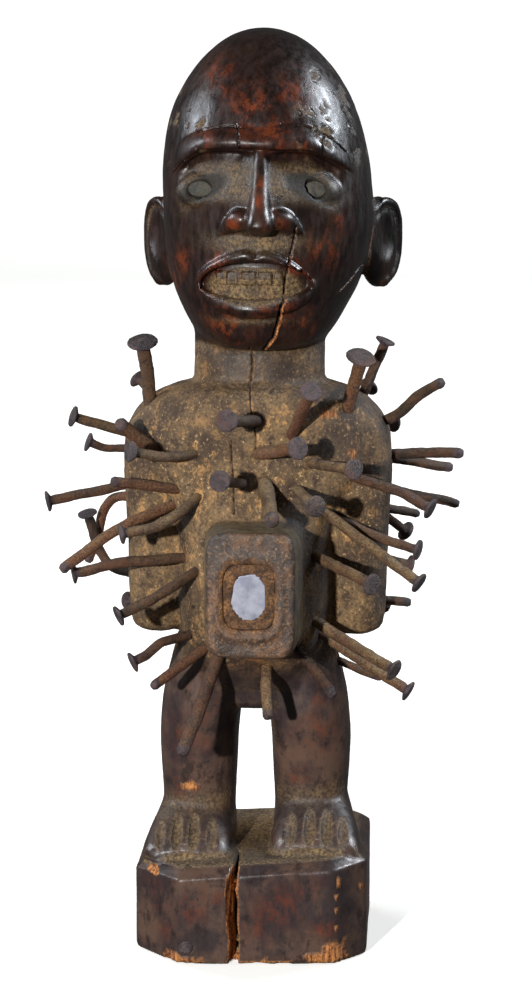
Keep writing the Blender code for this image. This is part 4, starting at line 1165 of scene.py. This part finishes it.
def mirror_pieces():
    middle = (POCKET_X, POCKET_Z)
    bedding_front = -57.1
    points, faces = plate_points(middle, POCKET_HALF, 4.5, bedding_front + 0.2, -54.1, 0.0, 16, 64)
    share = np.hypot((points[:, 0] - POCKET_X) / 6.2, (points[:, 2] - POCKET_Z) / 8.2)
    front = points[:, 1] < bedding_front + 0.6
    swell = 0.5 * hill(0.16, share - 1.16) + 0.5 * rough_noise(points, 2.4, 61, 3)
    points[:, 1] -= np.where(front, swell, 0)
    points[:, 1] += np.where(front & (share < 1.02), 1.6, 0)
    mesh_piece("resin_bedding", points, faces, resin_material(), "mirror_bedding")
    points, faces = plate_points(middle, (6.3, 8.4), 2.9, -56.9, -55.3, 0.05, 10, 96)
    away = (points - (POCKET_X, 0, POCKET_Z)) * (1, 0, 1)
    points += away * (0.13 * rough_noise(points * (1, 0, 1), 5.5, 71, 2))[:, None]
    mesh_piece("mirror_glass", points, faces, mirror_material(), "mirror")


def eye_glass(side, node):
    """The dull glass set among the lids."""
    centre = (EYE_X + side * EYE_OFFSET, EYE_Z)
    points, faces = plate_points(centre, (4.3, 3.0), 1.8, -32.0, -30.7, 0.25, 8, 40)
    mesh_piece("glass_" + node, points, faces, eye_material(), node)


# Materials

class Look:
    """A new material, and the shader nodes that make its colour, roughness and bumps."""

    def __init__(self, name):
        self.material = bpy.data.materials.new(name)
        self.material.use_nodes = True
        self.tree = self.material.node_tree
        self.shader = self.tree.nodes["Principled BSDF"]

    def feed(self, node, inputs):
        """Sets a node's inputs to values or links them from sockets."""
        for key, value in inputs.items():
            if isinstance(value, bpy.types.NodeSocket):
                self.tree.links.new(value, node.inputs[key])
            else:
                node.inputs[key].default_value = value

    def add(self, kind, output, inputs, **settings):
        """One output of a new shader node."""
        made = self.tree.nodes.new("ShaderNode" + kind)
        for key, value in settings.items():
            setattr(made, key, value)
        self.feed(made, inputs)
        return made.outputs[output]

    def mixed(self, factor, low, high):
        """Colour between two colours."""
        low, high = ((*colour, 1) if isinstance(colour, tuple) else colour for colour in (low, high))
        return self.add("Mix", 2, {0: factor, 6: low, 7: high}, data_type="RGBA")

    def ranged(self, value, low, high, to_low=0, to_high=1):
        """A value moved from one range to another, held inside it."""
        inputs = {"Value": value, "From Min": low, "From Max": high, "To Min": to_low, "To Max": to_high}
        return self.add("MapRange", 0, inputs, interpolation_type="SMOOTHSTEP")

    def layered(self, colour, *layers):
        """A colour under layers: the value that shows each, the range it shows over, and its colour."""
        for value, limits, over in layers:
            colour = self.mixed(self.ranged(value, *limits), colour, over)
        return colour

    def reckoned(self, operation, a, b, clamp=True):
        return self.add("Math", 0, {0: a, 1: b}, operation=operation, use_clamp=clamp)

    def times(self, a, b):
        return self.reckoned("MULTIPLY", a, b)

    def speckle(self, scale, detail, roughness, stretch=(1, 1, 1), seed=0):
        """Noise fixed to the object, in features per metre."""
        where = self.add("TexCoord", "Object", {})
        inputs = {"Vector": where, "Scale": stretch, "Location": (seed, seed * 0.7, 0)}
        moved = self.add("Mapping", 0, inputs)
        inputs = {"Vector": moved, "Scale": scale, "Detail": detail, "Roughness": roughness}
        return self.add("TexNoise", "Fac", inputs)

    def attribute(self, name):
        return self.add("Attribute", "Fac", {}, attribute_name=name)

    def finished(self, colour, roughness, height, distance, strength=1, others=None):
        """The material, with its bumps made from a height and a distance in metres."""
        bump = self.add("Bump", 0, {"Height": height, "Distance": distance, "Strength": strength})
        inputs = {"Base Color": colour, "Roughness": roughness, "Normal": bump, **(others or {})}
        self.feed(self.shader, inputs)
        return self.material


def polished_wood(look, grain, cloud, spots):
    """Near black, glossy wood, worn through to red."""
    dark = look.layered(
        (0.006, 0.0035, 0.003),
        (grain, (0.3, 0.75), (0.019, 0.008, 0.006)),
        (cloud, (0.45, 0.7, 0, 0.8), (0.036, 0.017, 0.011)),
    )
    aged = look.layered(
        (0.036, 0.026, 0.027),
        (cloud, (0.38, 0.62), (0.1, 0.06, 0.044)),
        (spots, (0.5, 0.36, 0, 0.75), (0.022, 0.014, 0.013)),
    )
    red = look.layered((0.045, 0.008, 0.004), (spots, (0.35, 0.65), (0.17, 0.036, 0.01)))
    worn = look.times(look.attribute("worn"), look.ranged(spots, 0.42, 0.62, 0.05, 0.85))
    worn = look.reckoned("ADD", worn, look.ranged(look.attribute("edge"), 0.35, 0.8, 0, 0.2))
    colour = look.mixed(worn, look.mixed(look.attribute("aged"), dark, aged), red)
    return look.layered(colour, (look.attribute("smudge"), (0.1, 0.7, 0, 0.9), (0.007, 0.007, 0.006)))


def crusted_wood(look, cloud, spots, crumbs):
    """Earthy crust: khaki with dark smooth patches, and bright crumbs round the nails."""
    specks = look.attribute("specks")
    earth = look.layered(
        (0.058, 0.036, 0.021),
        (cloud, (0.35, 0.65), (0.175, 0.112, 0.055)),
        (spots, (0.47, 0.37, 0, 0.8), (0.035, 0.019, 0.014)),
    )
    bright = look.times(look.ranged(spots, 0.52, 0.64), look.ranged(specks, 0, 1, 0.2, 0.95))
    earth = look.layered(
        look.mixed(bright, earth, (0.42, 0.23, 0.088)),
        (crumbs, (0.5, 0.34, 0, 0.7), (0.04, 0.022, 0.012)),
        (crumbs, (0.54, 0.7, 0, 0.45), (0.34, 0.2, 0.085)),
    )
    grit = look.times(look.ranged(crumbs, 0.6, 0.7), look.ranged(specks, 0, 1, 0.15, 0.8))
    smooth = look.layered((0.08, 0.058, 0.03), (spots, (0.35, 0.65), (0.21, 0.15, 0.072)))
    return look.mixed(look.attribute("box"), look.mixed(grit, earth, (0.62, 0.44, 0.22)), smooth)


def wood_material():
    """Dark polished wood, worn to red on its high spots, with dust, crust, resin, bare wood in the breaks,
    and painted shade and highlights in the splits.
    """
    look = Look("carved_wood")
    grain = look.speckle(420, 6, 0.65, (1, 1, 0.3))
    cloud = look.speckle(55, 6, 0.65, (1, 1, 0.8), 7)
    spots = look.speckle(190, 5, 0.75, (1, 1, 0.7), 11)
    crumbs = look.speckle(900, 3, 0.7, seed=1)
    fibre = look.speckle(700, 4, 0.7, (1, 1, 0.08), 5)
    crust, bare_and_lit_wood, resin, smudge = map(look.attribute, ("crust", "bare_and_lit_wood", "resin", "smudge"))

    dust = look.layered((0.052, 0.032, 0.015), (crumbs, (0.36, 0.68), DUST))
    dirt = look.times(look.attribute("dirt"), look.ranged(spots, 0.32, 0.54, 0.3, 1))
    dirt = look.times(dirt, look.ranged(smudge, 0.2, 0.8, 1, 0.12))
    colour = look.mixed(dirt, polished_wood(look, grain, cloud, spots), dust)
    colour = look.mixed(crust, colour, crusted_wood(look, cloud, spots, crumbs))
    box_front = look.layered(
        (0.055, 0.041, 0.034),
        (cloud, (0.4, 0.62), (0.145, 0.076, 0.041)),
        (spots, (0.53, 0.4, 0, 0.85), (0.03, 0.022, 0.02)),
        (crumbs, (0.52, 0.68, 0, 0.6), (0.3, 0.165, 0.08)),
    )
    box_front = look.mixed(look.attribute("ring"), box_front, resin_colour(look))
    torn = look.reckoned("ADD", look.times(fibre, 0.6), look.times(crumbs, 0.4))
    fresh = look.layered((0.085, 0.022, 0.007), (torn, (0.4, 0.6), (0.58, 0.24, 0.072)))
    # Bare wood, which on the splits' right walls is a painted highlight.
    colour = look.mixed(bare_and_lit_wood, look.mixed(resin, colour, box_front), fresh)
    # Painted shade over everything else: near black in the splits, the small holes and where the nails go
    # in.
    colour = look.layered(colour, (look.attribute("shade_in_holes"), (0.45, 0.95, 0, 0.92), (0.014, 0.008, 0.006)))

    dull = crust
    for share in (dirt, bare_and_lit_wood, smudge):
        dull = look.reckoned("MAXIMUM", dull, share)
    glossy = look.times(look.ranged(grain, 0.3, 0.7, 0.24, 0.46), look.reckoned("SUBTRACT", 1, dull))
    rough = look.reckoned("ADD", glossy, look.times(dull, 0.78))
    rough = look.reckoned("SUBTRACT", rough, look.times(resin, 0.3))
    height = look.reckoned("ADD", look.times(grain, 0.3), look.times(crumbs, dull), False)
    height = look.reckoned("ADD", height, look.times(spots, dull), False)
    return look.finished(colour, rough, height, 0.0006, 0.7, {"Specular IOR Level": 0.32})


def iron_material():
    """Old iron under dark brown rust, bluish and smoother on the heads."""
    look = Look("rusty_iron")
    cloud = look.speckle(260, 5, 0.7)
    fine = look.speckle(1300, 4, 0.7, seed=4)
    patches = look.speckle(95, 4, 0.65, seed=9)
    rust = look.layered((0.013, 0.007, 0.006), (cloud, (0.38, 0.62), (0.085, 0.036, 0.021)))
    orange = look.layered((0.08, 0.024, 0.012), (fine, (0.4, 0.65), (0.3, 0.115, 0.045)))
    rust = look.mixed(look.times(look.attribute("orange"), 0.75), rust, orange)
    earth = look.times(look.ranged(fine, 0.36, 0.6, 0.2, 1), look.attribute("dusty"))
    earth = look.times(earth, look.ranged(patches, 0.36, 0.56, 0.35, 1))
    steel = look.layered(
        (0.02, 0.018, 0.027),
        (cloud, (0.4, 0.65), (0.1, 0.078, 0.092)),
        (patches, (0.5, 0.7, 0, 0.7), (0.1, 0.038, 0.028)),
    )
    bare = look.times(look.attribute("head"), look.ranged(fine, 0.7, 0.4, 0.4, 0.95))
    colour = look.mixed(bare, look.mixed(earth, rust, DUST), steel)
    rough = look.ranged(cloud, 0.3, 0.7, 0.5, 0.85)
    height = look.reckoned("ADD", fine, cloud, False)
    return look.finished(colour, rough, height, 0.0008, others={"Metallic": 0.25})


def resin_colour(look):
    """Orange brown with dark and bright grains."""
    cloud = look.speckle(220, 5, 0.7)
    fine = look.speckle(1100, 4, 0.75, seed=2)
    return look.layered(
        (0.085, 0.04, 0.02),
        (cloud, (0.38, 0.62), (0.27, 0.13, 0.05)),
        (fine, (0.54, 0.4, 0, 0.85), (0.035, 0.022, 0.014)),
        (fine, (0.58, 0.7, 0, 0.6), (0.42, 0.22, 0.09)),
    )


def resin_material():
    """Granular orange brown resin."""
    look = Look("orange_resin")
    grains = look.speckle(1100, 4, 0.75, seed=2)
    return look.finished(resin_colour(look), 0.8, grains, 0.0009)


def mirror_material():
    """Clouded, worn mirror glass, its pale bluish colour a painted reflection of the bright studio."""
    look = Look("mirror_with_painted_reflection")
    cloud = look.speckle(180, 5, 0.6)
    scratches = look.speckle(900, 3, 0.6, (1, 1, 0.15), 6)
    # Painted reflection: pale bluish colour in place of what the mirror would reflect.
    colour = look.layered((0.17, 0.185, 0.245), (cloud, (0.35, 0.65), (0.3, 0.31, 0.375)))
    rough = look.ranged(scratches, 0.3, 0.7, 0.4, 0.6)
    return look.finished(colour, rough, scratches, 0.0001, 0.5, {"Metallic": 0.2})


def eye_material():
    """Dull grey green glass."""
    look = Look("eye_glass")
    cloud = look.speckle(320, 4, 0.6)
    dirt = look.speckle(700, 4, 0.7, seed=8)
    colour = look.layered(
        (0.01, 0.011, 0.009),
        (cloud, (0.4, 0.62), (0.05, 0.05, 0.038)),
        (dirt, (0.5, 0.62, 0, 0.8), (0.06, 0.042, 0.022)),
    )
    return look.finished(colour, 0.62, cloud, 0.0002, 0.5, {"Specular IOR Level": 0.3})


# Stage, lights and camera

def sweep():
    """A pale round floor that curves up into the backdrop on every side."""
    floor_radius, bend, tall, steps, sides = 3.0, 1.0, 4.0, 12, 64
    profile = [(0.5, 0.0), (floor_radius, 0.0)]
    for i in range(1, steps + 1):
        angle = math.radians(90 * i / steps)
        profile.append((floor_radius + bend * math.sin(angle), bend - bend * math.cos(angle)))
    profile.append((floor_radius + bend, tall))
    bm = bmesh.new()
    turns = [2 * math.pi * i / sides for i in range(sides)]
    rows = [[bm.verts.new((r * math.cos(t), r * math.sin(t), z)) for t in turns] for r, z in profile]
    bm.faces.new(rows[0])
    for low, high in zip(rows, rows[1:]):
        for i in range(sides):
            j = (i + 1) % sides
            bm.faces.new((low[i], high[i], high[j], low[j]))
    mesh = bpy.data.meshes.new("pale_sweep")
    bm.to_mesh(mesh)
    bm.free()
    mesh.shade_smooth()
    look = Look("pale_floor")
    pale = (0.86, 0.87, 0.86, 1.0)
    inputs = {"Base Color": pale, "Roughness": 0.8, "Emission Color": pale, "Emission Strength": 0.55}
    look.feed(look.shader, inputs)
    mesh.materials.append(look.material)
    floor = new_object("pale_sweep", mesh)
    floor.visible_glossy = False
    floor.visible_diffuse = False


def aimed(name, data, place, target):
    """An object at a place that looks at a target."""
    made = new_object(name, data)
    made.location = place
    made.rotation_euler = (Vector(target) - place).to_track_quat("-Z", "Y").to_euler()
    return made


def lamp(name, azimuth, elevation, away, size, watts, colour=(1.0, 1.0, 1.0), target=(0, 0, 0.18)):
    """A round area light placed by its direction from its target, in degrees and metres."""
    turn, rise = math.radians(azimuth), math.radians(elevation)
    flat = away * math.cos(rise)
    place = Vector(target) + Vector((flat * math.sin(turn), -flat * math.cos(turn), away * math.sin(rise)))
    light = bpy.data.lights.new(name, "AREA")
    light.shape = "DISK"
    light.size = size
    light.energy = watts
    light.color = colour
    made = aimed(name, light, place, target)
    made.visible_camera = False
    return made


def lights():
    lamp("key", -17, 10, 1.1, 0.04, 16, (1.0, 0.98, 0.95))
    for name, azimuth, elevation, watts in (("right", 94, 38, 20), ("left", -84, 30, 9)):
        softbox = lamp(name + "_softbox", azimuth, elevation, 0.95, 0.36, watts, (0.85, 0.92, 1.0))
        softbox.visible_diffuse = False
    for name, azimuth in (("right", 130), ("left", -130)):
        lamp("back_" + name, azimuth, 26, 1.2, 0.7, 8).visible_glossy = False
    lamp("backdrop_wash", 0, 30, 2.6, 2.0, 60, target=(0, 3.6, 1.0))
    world = bpy.data.worlds.new("studio")
    world.use_nodes = True
    background = world.node_tree.nodes["Background"]
    background.inputs["Color"].default_value = (1.0, 1.0, 1.0, 1.0)
    background.inputs["Strength"].default_value = 0.10
    bpy.context.scene.world = world
    bpy.context.scene.view_settings.view_transform = "Standard"


def camera():
    turn = math.radians(CAMERA_AZIMUTH)
    right, forward = CAMERA_DISTANCE * math.sin(turn), CAMERA_DISTANCE * math.cos(turn)
    place = Vector((right, -forward, CAMERA_HEIGHT))
    data = bpy.data.cameras.new("camera")
    data.lens = CAMERA_LENS
    data.sensor_width = CAMERA_SENSOR
    data.shift_x = CAMERA_SHIFT_X
    bpy.context.scene.camera = aimed("camera", data, place, CAMERA_TARGET)


carved_wood()
rusty_iron = iron_material()
for nail_row in NAILS:
    nail(nail_row, rusty_iron)
mirror_pieces()
eye_glass(-1, "eye_glass_left")
eye_glass(1, "eye_glass_right")
sweep()
lights()
camera()
